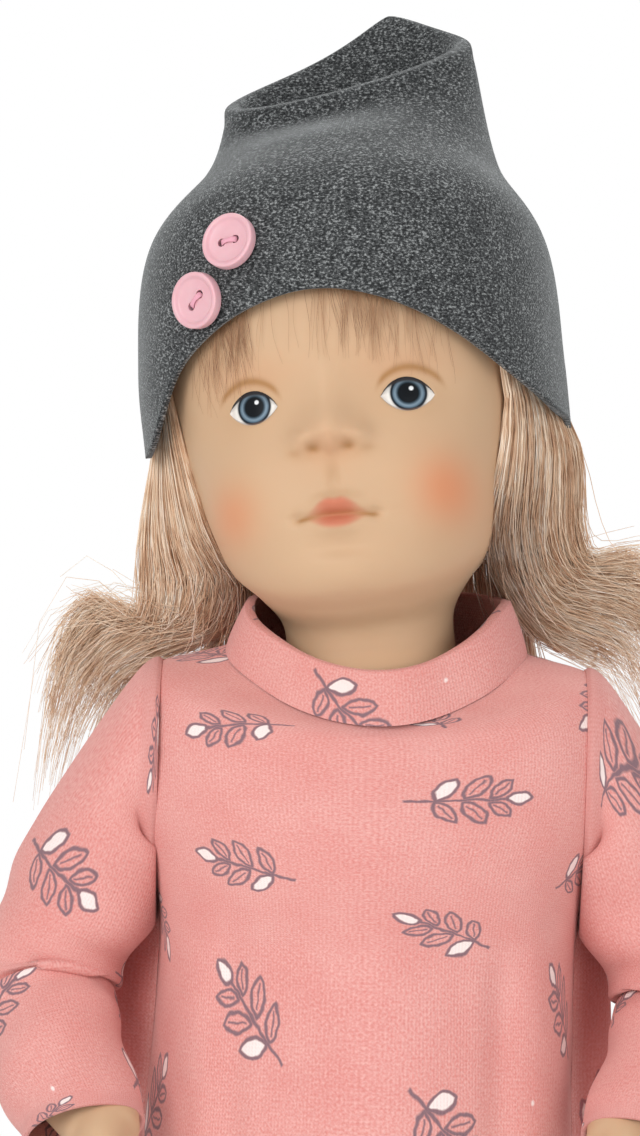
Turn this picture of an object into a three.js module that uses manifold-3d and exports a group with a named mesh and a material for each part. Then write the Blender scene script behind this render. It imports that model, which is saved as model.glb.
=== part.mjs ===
// A dressed play doll of soft vinyl, standing, about 46 cm tall to the crown of its head.
// Head, arms and legs are hollow castings. Each ends in a stem and a flange that snap through a
// round hole in the hollow torso, so the five joints turn and stay where they are put.
// The wig, the knitted hat, the sweatshirt, the leggings and the shoes are separate sewn pieces.
// Millimetres, +Z up, the face looks along -Y, and the doll's own left side is +X.

import * as THREE from 'three';
import { mergeVertices } from 'three/addons/utils/BufferGeometryUtils.js';
import Module from 'manifold-3d';

const wasm = await Module();
wasm.setup();

// Walls, gaps and fabrics
const VINYL_WALL = 2.6;
const FIT_GAP = 0.3; // between pieces that touch
const JOINT_GAP = 0.4; // running gap of a flange joint, on its face and round its stem
const JERSEY = 1.4; // sweatshirt and hat
const LEGGING_JERSEY = 1.0;
const FLANGE_THICK = 2.4;
const FLANGE_GRIP = 2.8; // how far a flange reaches past its hole
const STEM_WALL = 2.4;

// Head: stations of [height above the neck seat, half width, front, back]
const NECK_SEAT = new THREE.Vector3(0, -2, 340);
const HEAD_NOD = THREE.MathUtils.degToRad(-8); // face tipped up
const HEAD_LEAN = THREE.MathUtils.degToRad(-6); // crown tipped to the doll's right
const HEAD_TURN = THREE.MathUtils.degToRad(-7);
const HEAD_STATIONS = [
  [15.6, 4, 33, -22],
  [17.5, 14, 38, -8],
  [22, 21.5, 41, 8],
  [30, 28.5, 42.5, 27],
  [42, 34, 43.5, 41],
  [58, 39, 43, 50],
  [74, 41.5, 43.5, 52.5],
  [90, 39.5, 40.5, 50],
  [103, 31, 31, 41],
  [111, 19.5, 18, 28],
  [115, 5, 2, 10],
];
const HEAD_POWER = 2.25; // squareness of the head's rings
const NECK_R = 19;
const NECK_HOLE_R = 15;

// Places of the features on the face: [sideways, height]
const EYE = [17, 58.6];
const NOSE_Z = 48.2;
const MOUTH_Z = 33;

// Torso: stations of [height, half width, front, back]
const TORSO_STATIONS = [
  [177, 8, 9, 12],
  [184, 28, 20, 27],
  [200, 40, 29, 35],
  [225, 42, 34, 34],
  [250, 40.5, 34, 30.5],
  [280, 41.5, 32, 31],
  [305, 43, 30, 31],
  [322, 43, 27, 30],
  [333, 39, 23.5, 28],
  [340, 28, 20, 26],
  [344, 18, 14, 20],
];
const TORSO_POWER = 2.3;

// Shoulders and arms, given for the doll's left side
const SHOULDER_X = 41; // face of the torso that the arm turns on
const SHOULDER_Z = 316;
const ARM_HOLE_R = 9;
const SHOULDER_BALL_R = 12.6;
const UPPER_ARM = 55;
const ARM_SPLAY = THREE.MathUtils.degToRad(22);
const FOREARM = 42;
const FOREARM_WAY = new THREE.Vector3(-0.443, -0.774, -0.452).normalize();
const HAND = 27;
const UPPER_ARM_R = 10.2;
const ELBOW_R = 11;
const WRIST_R = 8.6;

// Hips and legs, given for the doll's left side
const HIP = new THREE.Vector3(15, 0, 203);
const HIP_SLANT = THREE.MathUtils.degToRad(30); // the hip axis dips outwards
const HIP_HOLE_R = 10;
const HIP_LEDGE_Z = 228; // the torso above this stays whole beside the leg
const THIGH_TOP_Z = 222;
// Leg: stations of [height, centre x, half width, front, back]
const LEG_STATIONS = [
  [THIGH_TOP_Z, 27, 5, 6, 6],
  [THIGH_TOP_Z - 4, 26.5, 13, 14, 16],
  [206, 25, 20, 20, 23],
  [185, 24, 22, 21.5, 24],
  [150, 23, 19.5, 19, 20],
  [108, 22, 15.5, 16, 14],
  [78, 21.5, 15, 13, 18],
  [44, 21, 11, 10.5, 12.5],
  [26, 21, 11.5, 12, 13.5],
];
const MID_GAP = 1.4; // half of the gap between the legs

// Feet and shoes
const SOLE = 5;
const FOOT_X = 21;
const FOOT_LENGTH = 60;
const FOOT_WIDTH = 25;
const FOOT_BACK = 20; // heel behind the ankle's axis
const INSTEP_Z = 28;
const SHOE_WALL = 1.8;
const SHOE_STRAP_WIDTH = 7;
const SHOE_STRAP_CLEAR = 1.7; // from the ankle's front to the strap
const SHOE_BUTTON_R = 3.4;

// Hat, in the head's own frame: a sack of jersey pulled down over the wig
const BRIM_FRONT = new THREE.Vector2(-46.4, 82.5); // y and z of its front edge
const BRIM_BACK = new THREE.Vector2(55, 30);
const HAT_EASE = { brim: 5.5, dome: 6 }; // how far its sides stand clear of the head
const HAT_TOP_CENTRE = new THREE.Vector3(3.5, 8, 139.1);
const HAT_TOP_HALF = new THREE.Vector2(28, 14); // half width and half depth of the folded top
const HAT_TOP_TILT = new THREE.Vector2(4.4, 5.8); // the fold climbs to the doll's left and to the back
const HAT_PEAK = 6.8; // the sack's corner stands this far above the fold's rim
const HAT_PEAK_AT = 2.78; // way round from the front to that corner, in radians
const HAT_DENT_Z = 121.5;
const BUTTON_R = 6.2;
const BUTTON_THICK = 2.4;
const BUTTON_HOLE_R = 0.95;
const BUTTON_HOLE_SPACING = 3.4;
const THREAD_R = 0.5;
// Places of the buttons on the hat: [angle from the front, share of the way from brim to top]
const BUTTON_PLACES = { upper: [-0.43, 0.417], lower: [-0.64, 0.208] };

// Wig
const WIG_CAP = 0.9;
const FRINGE_THICK = 0.7;
const FRINGE_DROP = 7; // how far the fringe shows below the brim
const FRINGE_HALF_WIDTH = 27;
const HAIRLINE = 5; // edge of the wig cap above the brim

// Sweatshirt
const SEAM_X = 47; // plane of the armhole seams
const HEM_Z = 231;
const ARMPIT_Z = 281; // below this the sleeve stands free of the body
const BALL_OUT = 6; // shoulder ball beyond the seam
const HEM_FLARE = 2;
const HEM_WAVE = 1.1; // the cloth hangs in shallow upright folds
const HEM_WAVES = 7;
const SLEEVE_HEAD = new THREE.Vector3(20, 22, 26); // half sizes of the sleeve's round head
const SLEEVE_R = 16.6;
const CUFF_R = 13.6;
const NECKLINE = { w: 32, front: 29, back: 31 };
const NECKLINE_RISE = { front: -7, side: 8, back: 9 }; // seam over the neck's seat
const NECKBAND = 11.7;
const NECKBAND_LEAN = 4; // the band closes in towards its top edge
const CLOSURE_LAP = 7; // half of the overlap of the two back panels
const TAPE = 0.8; // each layer of the closing tape
const TAPE_WIDTH = 9;
const TAPE_GAP = 0.4;

// Leggings
const WAIST_Z = 266;
const ANKLE_CUFF_Z = 36;
const WAISTBAND = 9;

const STANCE_SHIFT = 9.8; // the whole doll is moved forward by this, so that it is centred

const SIDES = { left: 1, right: -1 };
const AROUND = 18;

// Materials, as the finished doll shows them
const finish = (color, roughness, metalness = 0) =>
  new THREE.MeshStandardMaterial({ color, roughness, metalness });
const VINYL = finish(0xe3b893, 0.55);
const GREY_JERSEY = finish(0x5d6064, 0.95);
const PINK_JERSEY = finish(0xee938c, 0.95);
const HAIR = finish(0xb79a78, 0.6);
const WIG_NET = finish(0x8c7358, 0.9);
const PINK_PLASTIC = finish(0xf0a3b6, 0.45);
const THREAD = finish(0xe9c7cf, 0.8);
const TAPE_WHITE = finish(0xe8e2de, 0.95);
const SHOE_LEATHER = finish(0x8f8a88, 0.6);
const SOLE_RUBBER = finish(0xd8cfc4, 0.8);

// Solids: closed three.js geometry in and out of the boolean library

function solid(geometry) {
  const bare = geometry.clone();
  bare.deleteAttribute('normal');
  bare.deleteAttribute('uv');
  const merged = mergeVertices(bare, 1e-4);
  return new wasm.Manifold(
    new wasm.Mesh({
      numProp: 3,
      vertProperties: new Float32Array(merged.attributes.position.array),
      triVerts: new Uint32Array(merged.index.array),
    }),
  );
}

function geometryOf(body) {
  const mesh = body.getMesh();
  const geometry = new THREE.BufferGeometry();
  geometry.setAttribute('position', new THREE.BufferAttribute(new Float32Array(mesh.vertProperties), 3));
  geometry.setIndex(new THREE.BufferAttribute(new Uint32Array(mesh.triVerts), 1));
  return geometry;
}

const join = (first, ...rest) => rest.reduce((sum, next) => sum.add(next), first);
const cut = (first, ...rest) => rest.reduce((left, next) => left.subtract(next), first);
const common = (first, ...rest) => rest.reduce((kept, next) => kept.intersect(next), first);

// The largest of the separate bodies that a cut leaves
function largest(body) {
  return body.decompose().reduce((a, b) => (b.volume() > a.volume() ? b : a));
}

// Grids of points to closed geometry

function gridGeometry(points, faces) {
  const geometry = new THREE.BufferGeometry().setFromPoints(points);
  let volume = 0;
  const corner = new THREE.Vector3();
  for (let i = 0; i < faces.length; i += 3) {
    const [a, b, c] = [points[faces[i]], points[faces[i + 1]], points[faces[i + 2]]];
    volume += a.dot(corner.crossVectors(b, c));
  }
  if (volume < 0) faces.reverse();
  geometry.setIndex(faces);
  return geometry;
}

function quads(faces, rowA, rowB, count) {
  for (let i = 0; i < count; i++) {
    const next = (i + 1) % count;
    faces.push(rowA + i, rowA + next, rowB + next, rowA + i, rowB + next, rowB + i);
  }
}

// Rings from one end to the other, closed by a fan at each end
function loft(rings) {
  const count = rings[0].length;
  const points = rings.flat();
  const faces = [];
  for (let row = 0; row + 1 < rings.length; row++) quads(faces, row * count, (row + 1) * count, count);
  const middle = (ring) => ring.reduce((sum, p) => sum.add(p), new THREE.Vector3()).divideScalar(count);
  const start = points.push(middle(rings[0])) - 1;
  const end = points.push(middle(rings[rings.length - 1])) - 1;
  const last = (rings.length - 1) * count;
  for (let i = 0; i < count; i++) {
    const next = (i + 1) % count;
    faces.push(start, next, i);
    faces.push(end, last + i, last + next);
  }
  return gridGeometry(points, faces);
}

// Rings that come back to the first one, as on a hollow tube or a band
function hoop(rings) {
  const count = rings[0].length;
  const faces = [];
  for (let row = 0; row < rings.length; row++) {
    quads(faces, row * count, ((row + 1) % rings.length) * count, count);
  }
  return gridGeometry(rings.flat(), faces);
}

// The rings moved along their surface's normal; a positive distance is inwards
function offsetRings(rings, distance) {
  const along = new THREE.Vector3();
  const up = new THREE.Vector3();
  return rings.map((ring, row) => {
    const above = rings[Math.min(row + 1, rings.length - 1)];
    const below = rings[Math.max(row - 1, 0)];
    return ring.map((point, i) => {
      along.subVectors(ring[(i + 1) % ring.length], ring[(i + ring.length - 1) % ring.length]);
      up.subVectors(above[i], below[i]);
      return point.clone().addScaledVector(up.cross(along).normalize(), distance);
    });
  });
}

// A sheet of cloth worn as a tube, open at both ends
function clothTube(rings, thickness) {
  return hoop([...rings, ...offsetRings(rings, thickness).reverse()]);
}

// A sheet of cloth worn as a cap, open at its first ring and closed at its last
function clothCap(rings, thickness) {
  return loft([...rings.slice().reverse(), ...offsetRings(rings, thickness)]);
}

// Rings that run out along a sheet's face and home along its other face, closed by strips
function slab(rings) {
  const count = rings[0].length;
  const faces = [];
  for (let row = 0; row + 1 < rings.length; row++) quads(faces, row * count, (row + 1) * count, count);
  const last = (rings.length - 1) * count;
  for (let i = 0; i + 1 < count / 2; i++) {
    const [a, b, c, d] = [i, i + 1, count - 2 - i, count - 1 - i];
    faces.push(a, c, b, a, d, c);
    faces.push(last + a, last + b, last + c, last + a, last + c, last + d);
  }
  return gridGeometry(rings.flat(), faces);
}

// Smooth curve through a table of stations [place, value, value ...]
function stationsAt(rows) {
  const slope = (i, column) => {
    const a = rows[Math.max(i - 1, 0)];
    const b = rows[Math.min(i + 1, rows.length - 1)];
    return (b[column] - a[column]) / (b[0] - a[0]);
  };
  return (place) => {
    const rising = rows[rows.length - 1][0] > rows[0][0];
    let i = rows.findIndex((row) => (rising ? row[0] > place : row[0] < place)) - 1;
    if (i < 0) i = (rising ? place <= rows[0][0] : place >= rows[0][0]) ? 0 : rows.length - 2;
    const span = rows[i + 1][0] - rows[i][0];
    const t = THREE.MathUtils.clamp((place - rows[i][0]) / span, 0, 1);
    return rows[i].slice(1).map((value, k) => {
      const column = k + 1;
      const end = rows[i + 1][column];
      const [m0, m1] = [slope(i, column) * span, slope(i + 1, column) * span];
      return (
        value * (2 * t ** 3 - 3 * t ** 2 + 1) + m0 * (t ** 3 - 2 * t ** 2 + t) +
        end * (3 * t ** 2 - 2 * t ** 3) + m1 * (t ** 3 - t ** 2)
      );
    });
  };
}

const signedPower = (value, power) => Math.sign(value) * Math.abs(value) ** power;

// A point of an oval ring; angle 0 is the front, and a quarter turn is the doll's left
function ovalPoint(angle, width, front, back, power = 2) {
  const middle = (back - front) / 2;
  const depth = (back + front) / 2;
  const x = width * signedPower(Math.sin(angle), 2 / power);
  const y = middle - depth * signedPower(Math.cos(angle), 2 / power);
  return new THREE.Vector3(x, y, 0);
}

const angles = (count) => Array.from({ length: count }, (_, i) => (i / count) * 2 * Math.PI);
const evenly = (from, to, count) =>
  Array.from({ length: count }, (_, i) => from + ((to - from) * i) / (count - 1));

// Tube of changing oval section along a smooth path; halves are [along side, across side]
function sweep(path, halves, side, steps, count) {
  const curve = new THREE.CatmullRomCurve3(path);
  const sizeAt = stationsAt(halves.map((half, i) => [i / (halves.length - 1), ...half]));
  const rings = evenly(0, 1, steps + 1).map((t) => {
    const centre = curve.getPoint(t);
    const tangent = curve.getTangent(t);
    const u = side.clone().addScaledVector(tangent, -side.dot(tangent)).normalize();
    const v = new THREE.Vector3().crossVectors(tangent, u);
    const [a, b] = sizeAt(t);
    return angles(count).map((angle) =>
      centre.clone().addScaledVector(u, a * Math.cos(angle)).addScaledVector(v, b * Math.sin(angle)),
    );
  });
  return loft(rings);
}

function ball(centre, radius, around = 12) {
  return new THREE.SphereGeometry(radius, around, Math.round(around * 0.6)).translate(...centre);
}

// A round bar between two points
function bar(from, to, radius, count = 20) {
  const axis = new THREE.Vector3().subVectors(to, from);
  const turn = new THREE.Quaternion().setFromUnitVectors(new THREE.Vector3(0, 1, 0), axis.clone().normalize());
  return new THREE.CylinderGeometry(radius, radius, axis.length(), count)
    .applyQuaternion(turn)
    .translate(...from.clone().addScaledVector(axis, 0.5));
}

function box(low, high) {
  const size = new THREE.Vector3().subVectors(high, low);
  const middle = new THREE.Vector3().addVectors(low, high).multiplyScalar(0.5);
  return new THREE.BoxGeometry(size.x, size.y, size.z).translate(...middle);
}

const FAR = 600;
// Everything beyond a plane, on the side that its normal points to
function beyond(point, normal) {
  const turn = new THREE.Quaternion().setFromUnitVectors(new THREE.Vector3(0, 0, 1), normal);
  return new THREE.BoxGeometry(2 * FAR, 2 * FAR, FAR)
    .translate(0, 0, FAR / 2)
    .applyQuaternion(turn)
    .translate(...point);
}

function mirrored(geometry) {
  const copy = geometry.clone().scale(-1, 1, 1);
  copy.setIndex(Array.from(copy.index.array).reverse());
  return copy;
}

function add(group, name, body, material) {
  const geometry = body.isBufferGeometry ? body : geometryOf(body);
  geometry.computeVertexNormals();
  const mesh = new THREE.Mesh(geometry, material);
  mesh.name = name;
  group.add(mesh);
}

// The same piece for both sides, built for the left
function addPair(group, name, body, material) {
  const left = body.isBufferGeometry ? body : geometryOf(body);
  add(group, `${name}_left`, left, material);
  add(group, `${name}_right`, mirrored(left), material);
}

const doll = new THREE.Group();
const headGroup = new THREE.Group();
headGroup.position.copy(NECK_SEAT);
headGroup.rotation.set(HEAD_NOD, HEAD_LEAN, HEAD_TURN, 'YXZ');
headGroup.updateMatrix();
doll.add(headGroup);

// Flange joint: a stem through a hole and a wider disc behind the wall.
// The seat is the wall's outer face, and out points from the wall to the limb.
function flangePlug(seat, out, holeR) {
  const at = (distance) => seat.clone().addScaledVector(out, distance);
  const behindWall = -(VINYL_WALL + JOINT_GAP);
  return join(
    solid(bar(at(behindWall - FLANGE_THICK), at(behindWall), holeR + FLANGE_GRIP)),
    solid(bar(at(behindWall - FLANGE_THICK / 2), at(JOINT_GAP + VINYL_WALL), holeR - JOINT_GAP)),
  );
}

function flangeBore(seat, out, holeR, depth) {
  const inner = -(VINYL_WALL + 2 * JOINT_GAP + FLANGE_THICK + 1);
  const from = seat.clone().addScaledVector(out, inner);
  return solid(bar(from, seat.clone().addScaledVector(out, depth), holeR - JOINT_GAP - STEM_WALL));
}

// What the wall loses: the hole itself, and room for the flange behind it
function flangeSocket(seat, out, holeR) {
  const at = (distance) => seat.clone().addScaledVector(out, distance);
  const roomDepth = VINYL_WALL + 2 * JOINT_GAP + FLANGE_THICK;
  return join(
    solid(bar(at(-roomDepth), at(1), holeR)),
    solid(bar(at(-roomDepth), at(-VINYL_WALL), holeR + FLANGE_GRIP + JOINT_GAP)),
  );
}

// Head

const headAt = stationsAt(HEAD_STATIONS);
const CHIN_Z = HEAD_STATIONS[0][0];
const HEAD_HALF = Math.max(...HEAD_STATIONS.map((row) => row[1]));
const CROWN_Z = HEAD_STATIONS[HEAD_STATIONS.length - 1][0];

// Bell-shaped rise of a feature at [x, z], with its spread sideways and upwards
const rise = (x, z, [cx, cz], height, spreadX, spreadZ) =>
  height * Math.exp(-(((x - cx) / spreadX) ** 2) - ((z - cz) / spreadZ) ** 2);

// How far the face stands out of the plain head at a place on it
function faceRelief(x, z) {
  const side = Math.abs(x);
  return (
    rise(side, z, [0, NOSE_Z], 7.5, 5.2, 5) +
    rise(side, z, [0, NOSE_Z + 9], 2.2, 4.5, 8) +
    rise(side, z, [5.6, NOSE_Z - 1.6], 2.2, 3, 3.2) +
    rise(side, z, EYE, -3, 10, 6.5) +
    rise(side, z, EYE, 2.6, 6, 4.2) +
    rise(side, z, [0, MOUTH_Z + 2.6], 2.6, 6, 2.4) +
    rise(side, z, [0, MOUTH_Z - 2.4], 2.6, 5.5, 2.4) +
    rise(side, z, [0, MOUTH_Z], -1.4, 8, 1.4) +
    rise(side, z, [0, MOUTH_Z - 12], 2.4, 10, 5.5) +
    rise(side, z, [21, MOUTH_Z + 8], 2, 10, 10)
  );
}

function headPoint(angle, z, inset, relief) {
  const [width, front, back] = headAt(z);
  const point = ovalPoint(angle, Math.max(width - inset, 1), front - inset, back - inset, HEAD_POWER);
  point.z = z;
  if (relief) {
    const facing = THREE.MathUtils.smoothstep(Math.cos(angle), 0.1, 0.5);
    point.y -= facing * faceRelief(point.x, z);
  }
  return point;
}

// Angles that crowd towards the face, where the detail is
const faceAngles = (count) => angles(count).map((a) => a - 0.42 * Math.sin(a));

function headRings(rows, count, inset, relief) {
  const heights = evenly(0, Math.PI, rows).map((a) => (1 - Math.cos(a)) / 2);
  const steady = evenly(0, 1, rows);
  return heights.map((h, i) => {
    const z = THREE.MathUtils.lerp(CHIN_Z + inset, CROWN_Z - inset, 0.45 * h + 0.55 * steady[i]);
    return faceAngles(count).map((angle) => headPoint(angle, z, inset, relief));
  });
}

const HEAD_UP = new THREE.Vector3(0, 0, 1);
const ORIGIN = new THREE.Vector3();

function neckRings(inset) {
  const rows = [
    [JOINT_GAP, 0, 1],
    [9, 0.5, 0.98],
    [18, 2, 1],
    [30, 5, 1.08],
  ];
  return rows.map(([z, back, share]) =>
    angles(AROUND).map((angle) =>
      ovalPoint(angle, NECK_R * share - inset, NECK_R * share - inset, NECK_R * share - inset)
        .add(new THREE.Vector3(0, back, z)),
    ),
  );
}

function makeHead() {
  const outside = join(
    solid(loft(headRings(25, 36, 0, true))),
    solid(loft(neckRings(0))),
    flangePlug(ORIGIN, HEAD_UP, NECK_HOLE_R),
  );
  const hollow = join(
    solid(loft(headRings(9, 14, VINYL_WALL + 1.2, false))),
    flangeBore(ORIGIN, HEAD_UP, NECK_HOLE_R, CHIN_Z + 2 * NECK_R),
  );
  add(headGroup, 'head', cut(outside, hollow), VINYL);
}

// Torso

const torsoAt = stationsAt(TORSO_STATIONS);
const TORSO_LOW = TORSO_STATIONS[0][0];
const TORSO_HIGH = TORSO_STATIONS[TORSO_STATIONS.length - 1][0];
const X_AXIS = new THREE.Vector3(1, 0, 0);
const hipOut = new THREE.Vector3(Math.cos(HIP_SLANT), 0, -Math.sin(HIP_SLANT));
const flipX = (v) => new THREE.Vector3(-v.x, v.y, v.z);

function torsoRing(z, outset, count = AROUND) {
  const [width, front, back] = torsoAt(z);
  return angles(count).map((angle) => {
    const point = ovalPoint(angle, width + outset, front + outset, back + outset, TORSO_POWER);
    point.z = z;
    return point;
  });
}

// The space that the left leg keeps: beyond the slanted hip plane and below the ledge
function legSpace(standOff) {
  const plane = HIP.clone().addScaledVector(hipOut, standOff);
  const high = HIP_LEDGE_Z - standOff;
  return common(
    solid(beyond(plane, hipOut)),
    solid(box(new THREE.Vector3(-FAR, -FAR, -FAR), new THREE.Vector3(FAR, FAR, high))),
  );
}

const bothSides = (body) => [body, solid(mirrored(geometryOf(body)))];

function torsoBody(outset) {
  return solid(loft(evenly(TORSO_LOW, TORSO_HIGH, 12).map((z) => torsoRing(z, outset))));
}

function makeTorso() {
  const innerHeights = evenly(TORSO_LOW + 3 * VINYL_WALL, NECK_SEAT.z - 2 * VINYL_WALL, 7);
  const hollow = solid(loft(innerHeights.map((z) => torsoRing(z, -VINYL_WALL, 12))));
  // A wall of the same thickness closes the cavity beside each shoulder face and hip face
  const shoulderFace = new THREE.Vector3(SHOULDER_X, 0, SHOULDER_Z);
  const shoulderWall = solid(beyond(shoulderFace.clone().addScaledVector(X_AXIS, -VINYL_WALL), X_AXIS));
  const cavity = cut(hollow, ...bothSides(shoulderWall), ...bothSides(legSpace(-VINYL_WALL)));
  const shoulderCut = solid(beyond(shoulderFace, X_AXIS));
  const neckFace = solid(
    bar(ORIGIN, new THREE.Vector3(0, 0, 30), NECK_R + 3).applyMatrix4(headGroup.matrix),
  );
  const neckRing = geometryOf(flangeSocket(ORIGIN, HEAD_UP, NECK_HOLE_R));
  const neckSocket = solid(neckRing.applyMatrix4(headGroup.matrix));
  const body = cut(
    torsoBody(0),
    cavity,
    ...bothSides(shoulderCut),
    ...bothSides(legSpace(0)),
    neckFace,
    neckSocket,
    ...bothSides(flangeSocket(shoulderFace, X_AXIS, ARM_HOLE_R)),
    ...bothSides(flangeSocket(HIP, hipOut, HIP_HOLE_R)),
  );
  add(doll, 'torso', largest(body), VINYL);
}

// Arms

const shoulderSeat = new THREE.Vector3(SHOULDER_X, 0, SHOULDER_Z);
const shoulderBall = new THREE.Vector3(SEAM_X + BALL_OUT, 0, SHOULDER_Z);
const elbow = shoulderBall
  .clone()
  .add(new THREE.Vector3(Math.sin(ARM_SPLAY), 0, -Math.cos(ARM_SPLAY)).multiplyScalar(UPPER_ARM));
const wrist = elbow.clone().addScaledVector(FOREARM_WAY, FOREARM);
const handWay = new THREE.Vector3(-0.06, -0.62, -0.78).normalize();

// Along the arm from the shoulder to the wrist, with a bend at the elbow
function armPath(tail) {
  const upper = new THREE.Vector3().lerpVectors(shoulderBall, elbow, 0.45);
  const beforeElbow = new THREE.Vector3().lerpVectors(shoulderBall, elbow, 0.85);
  const afterElbow = new THREE.Vector3().lerpVectors(elbow, wrist, 0.28);
  const end = wrist.clone().addScaledVector(FOREARM_WAY, tail);
  return [shoulderBall, upper, beforeElbow, afterElbow, end];
}

const round = (radii) => radii.map((r) => [r, r]);

function armTube(inset, tail, steps, count) {
  const radii = [SHOULDER_BALL_R - 1, UPPER_ARM_R, ELBOW_R, ELBOW_R, WRIST_R].map((r) => r - inset);
  return solid(sweep(armPath(tail), round(radii), X_AXIS, steps, count));
}

// A small half-open hand: a flat palm, four fingers and a thumb
function makeHand() {
  const across = new THREE.Vector3().crossVectors(handWay, X_AXIS).normalize();
  const palmEnd = wrist.clone().addScaledVector(handWay, HAND * 0.5);
  const palm = sweep(
    [wrist.clone().addScaledVector(FOREARM_WAY, -4), wrist, palmEnd.clone().lerp(wrist, 0.5), palmEnd],
    [[WRIST_R - 0.6, WRIST_R - 0.6], [WRIST_R - 1, WRIST_R - 0.4], [6, 9.6], [5, 9.2]],
    X_AXIS, 4, 10,
  );
  const fingers = [-1.5, -0.5, 0.5, 1.5].map((step) => {
    const root = palmEnd.clone().addScaledVector(across, step * 4.3).addScaledVector(handWay, -3);
    const reach = HAND * (0.56 - 0.05 * Math.abs(step));
    const middle = root.clone().addScaledVector(handWay, reach * 0.6).addScaledVector(X_AXIS, -0.6);
    const tip = root.clone().addScaledVector(handWay, reach).addScaledVector(X_AXIS, -2.4);
    return solid(sweep([root, middle, tip], round([2.5, 2.35, 1.3]), X_AXIS, 3, 5));
  });
  const thumbRoot = wrist.clone().addScaledVector(handWay, 4).addScaledVector(across, -6);
  const thumbTip = thumbRoot.clone().addScaledVector(handWay, 10).addScaledVector(across, -5);
  const thumbMid = thumbRoot.clone().lerp(thumbTip, 0.55).addScaledVector(across, -1);
  const thumb = solid(sweep([thumbRoot, thumbMid, thumbTip], round([3.2, 2.8, 1.5]), X_AXIS, 3, 5));
  return join(solid(palm), ...fingers, thumb);
}

function makeArms() {
  const hubFoot = shoulderSeat.clone().addScaledVector(X_AXIS, JOINT_GAP);
  const hub = solid(bar(hubFoot, shoulderBall, SHOULDER_BALL_R - 2, 12));
  const outside = join(
    solid(ball(shoulderBall, SHOULDER_BALL_R)),
    armTube(0, 0, 8, 10),
    hub,
    makeHand(),
    flangePlug(shoulderSeat, X_AXIS, ARM_HOLE_R),
  );
  const hollow = join(
    armTube(VINYL_WALL, -6, 5, 8),
    flangeBore(shoulderSeat, X_AXIS, ARM_HOLE_R, SEAM_X + BALL_OUT - SHOULDER_X),
  );
  addPair(doll, 'arm', cut(outside, hollow), VINYL);
}

// Legs

const legAt = stationsAt(LEG_STATIONS);
const ANKLE_Z = LEG_STATIONS[LEG_STATIONS.length - 1][0];

function legRing(z, outset, count = 14) {
  const [centre, width, front, back] = legAt(z);
  return angles(count).map((angle) => {
    const point = ovalPoint(angle, width + outset, front + outset, back + outset, 2.1);
    return point.add(new THREE.Vector3(centre, 0, z));
  });
}

// What one leg may fill: its own side of the hip plane and of the doll's middle
function legSide(standOff) {
  const middle = new THREE.Vector3(MID_GAP, 0, 0);
  return common(
    solid(beyond(HIP.clone().addScaledVector(hipOut, standOff), hipOut)),
    solid(beyond(middle, X_AXIS)),
  );
}

// Bare foot inside the shoe: rings from heel to toe of [along, half width, height]
const FOOT_STATIONS = [
  [0, 4, 9],
  [0.08, 0.36 * FOOT_WIDTH, 15],
  [0.3, 0.4 * FOOT_WIDTH, INSTEP_Z - SOLE],
  [0.55, 0.43 * FOOT_WIDTH, 16],
  [0.78, 0.46 * FOOT_WIDTH, 11.5],
  [0.94, 0.36 * FOOT_WIDTH, 9],
  [1, 0.16 * FOOT_WIDTH, 6],
];

function footBody(outset, low = SOLE + FIT_GAP) {
  const at = stationsAt(FOOT_STATIONS);
  const rings = evenly(0, 1, 8).map((share) => {
    const [half, height] = at(share);
    const y = FOOT_BACK + outset - share * (FOOT_LENGTH + 2 * outset);
    const tall = height + outset + SOLE + FIT_GAP - low;
    return angles(12).map((angle) => {
      const x = (half + outset) * signedPower(Math.sin(angle), 0.8);
      const z = low + (tall / 2) * (1 - signedPower(Math.cos(angle), 0.8));
      return new THREE.Vector3(FOOT_X + x, y, z);
    });
  });
  return solid(loft(rings));
}

function legBody(inset, rows, count) {
  const heights = evenly(THIGH_TOP_Z - inset, ANKLE_Z + inset, rows);
  return solid(loft(heights.map((z) => legRing(z, -inset, count))));
}

// The ankle's foot end, down to inside the foot
function ankleBody(outset) {
  return solid(loft([
    legRing(ANKLE_Z + 1, outset),
    legRing(ANKLE_Z, outset - 1.5).map((p) => p.setZ(SOLE + 10 - outset)),
  ]));
}

function makeLegs() {
  const calfAndFoot = join(common(legBody(0, 12, 14), legSide(JOINT_GAP)), ankleBody(0), footBody(0));
  const outside = join(calfAndFoot, flangePlug(HIP, hipOut, HIP_HOLE_R));
  const hollow = join(
    common(legBody(VINYL_WALL, 6, 9), legSide(JOINT_GAP + VINYL_WALL)),
    flangeBore(HIP, hipOut, HIP_HOLE_R, JOINT_GAP + 3 * VINYL_WALL),
  );
  addPair(doll, 'leg', cut(outside, hollow), VINYL);
}

// Shoes: a flat sole, a soft upper that is open over the instep, a strap and its button

function soleShape(outset) {
  const half = FOOT_WIDTH / 2 + outset;
  const toe = FOOT_BACK - FOOT_LENGTH - outset;
  const heel = FOOT_BACK + outset;
  const shape = new THREE.Shape();
  shape.moveTo(-half * 0.8, heel - half);
  shape.quadraticCurveTo(-half * 0.82, heel, 0, heel);
  shape.quadraticCurveTo(half * 0.82, heel, half * 0.8, heel - half);
  shape.bezierCurveTo(half * 0.74, heel - 2 * half, half * 1.05, toe + 2.4 * half, half, toe + half);
  shape.quadraticCurveTo(half * 0.9, toe, 0, toe);
  shape.quadraticCurveTo(-half * 0.9, toe, -half, toe + half);
  shape.bezierCurveTo(-half * 1.05, toe + 2.4 * half, -half * 0.74, heel - 2 * half, -half * 0.8, heel - half);
  return shape;
}

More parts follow.
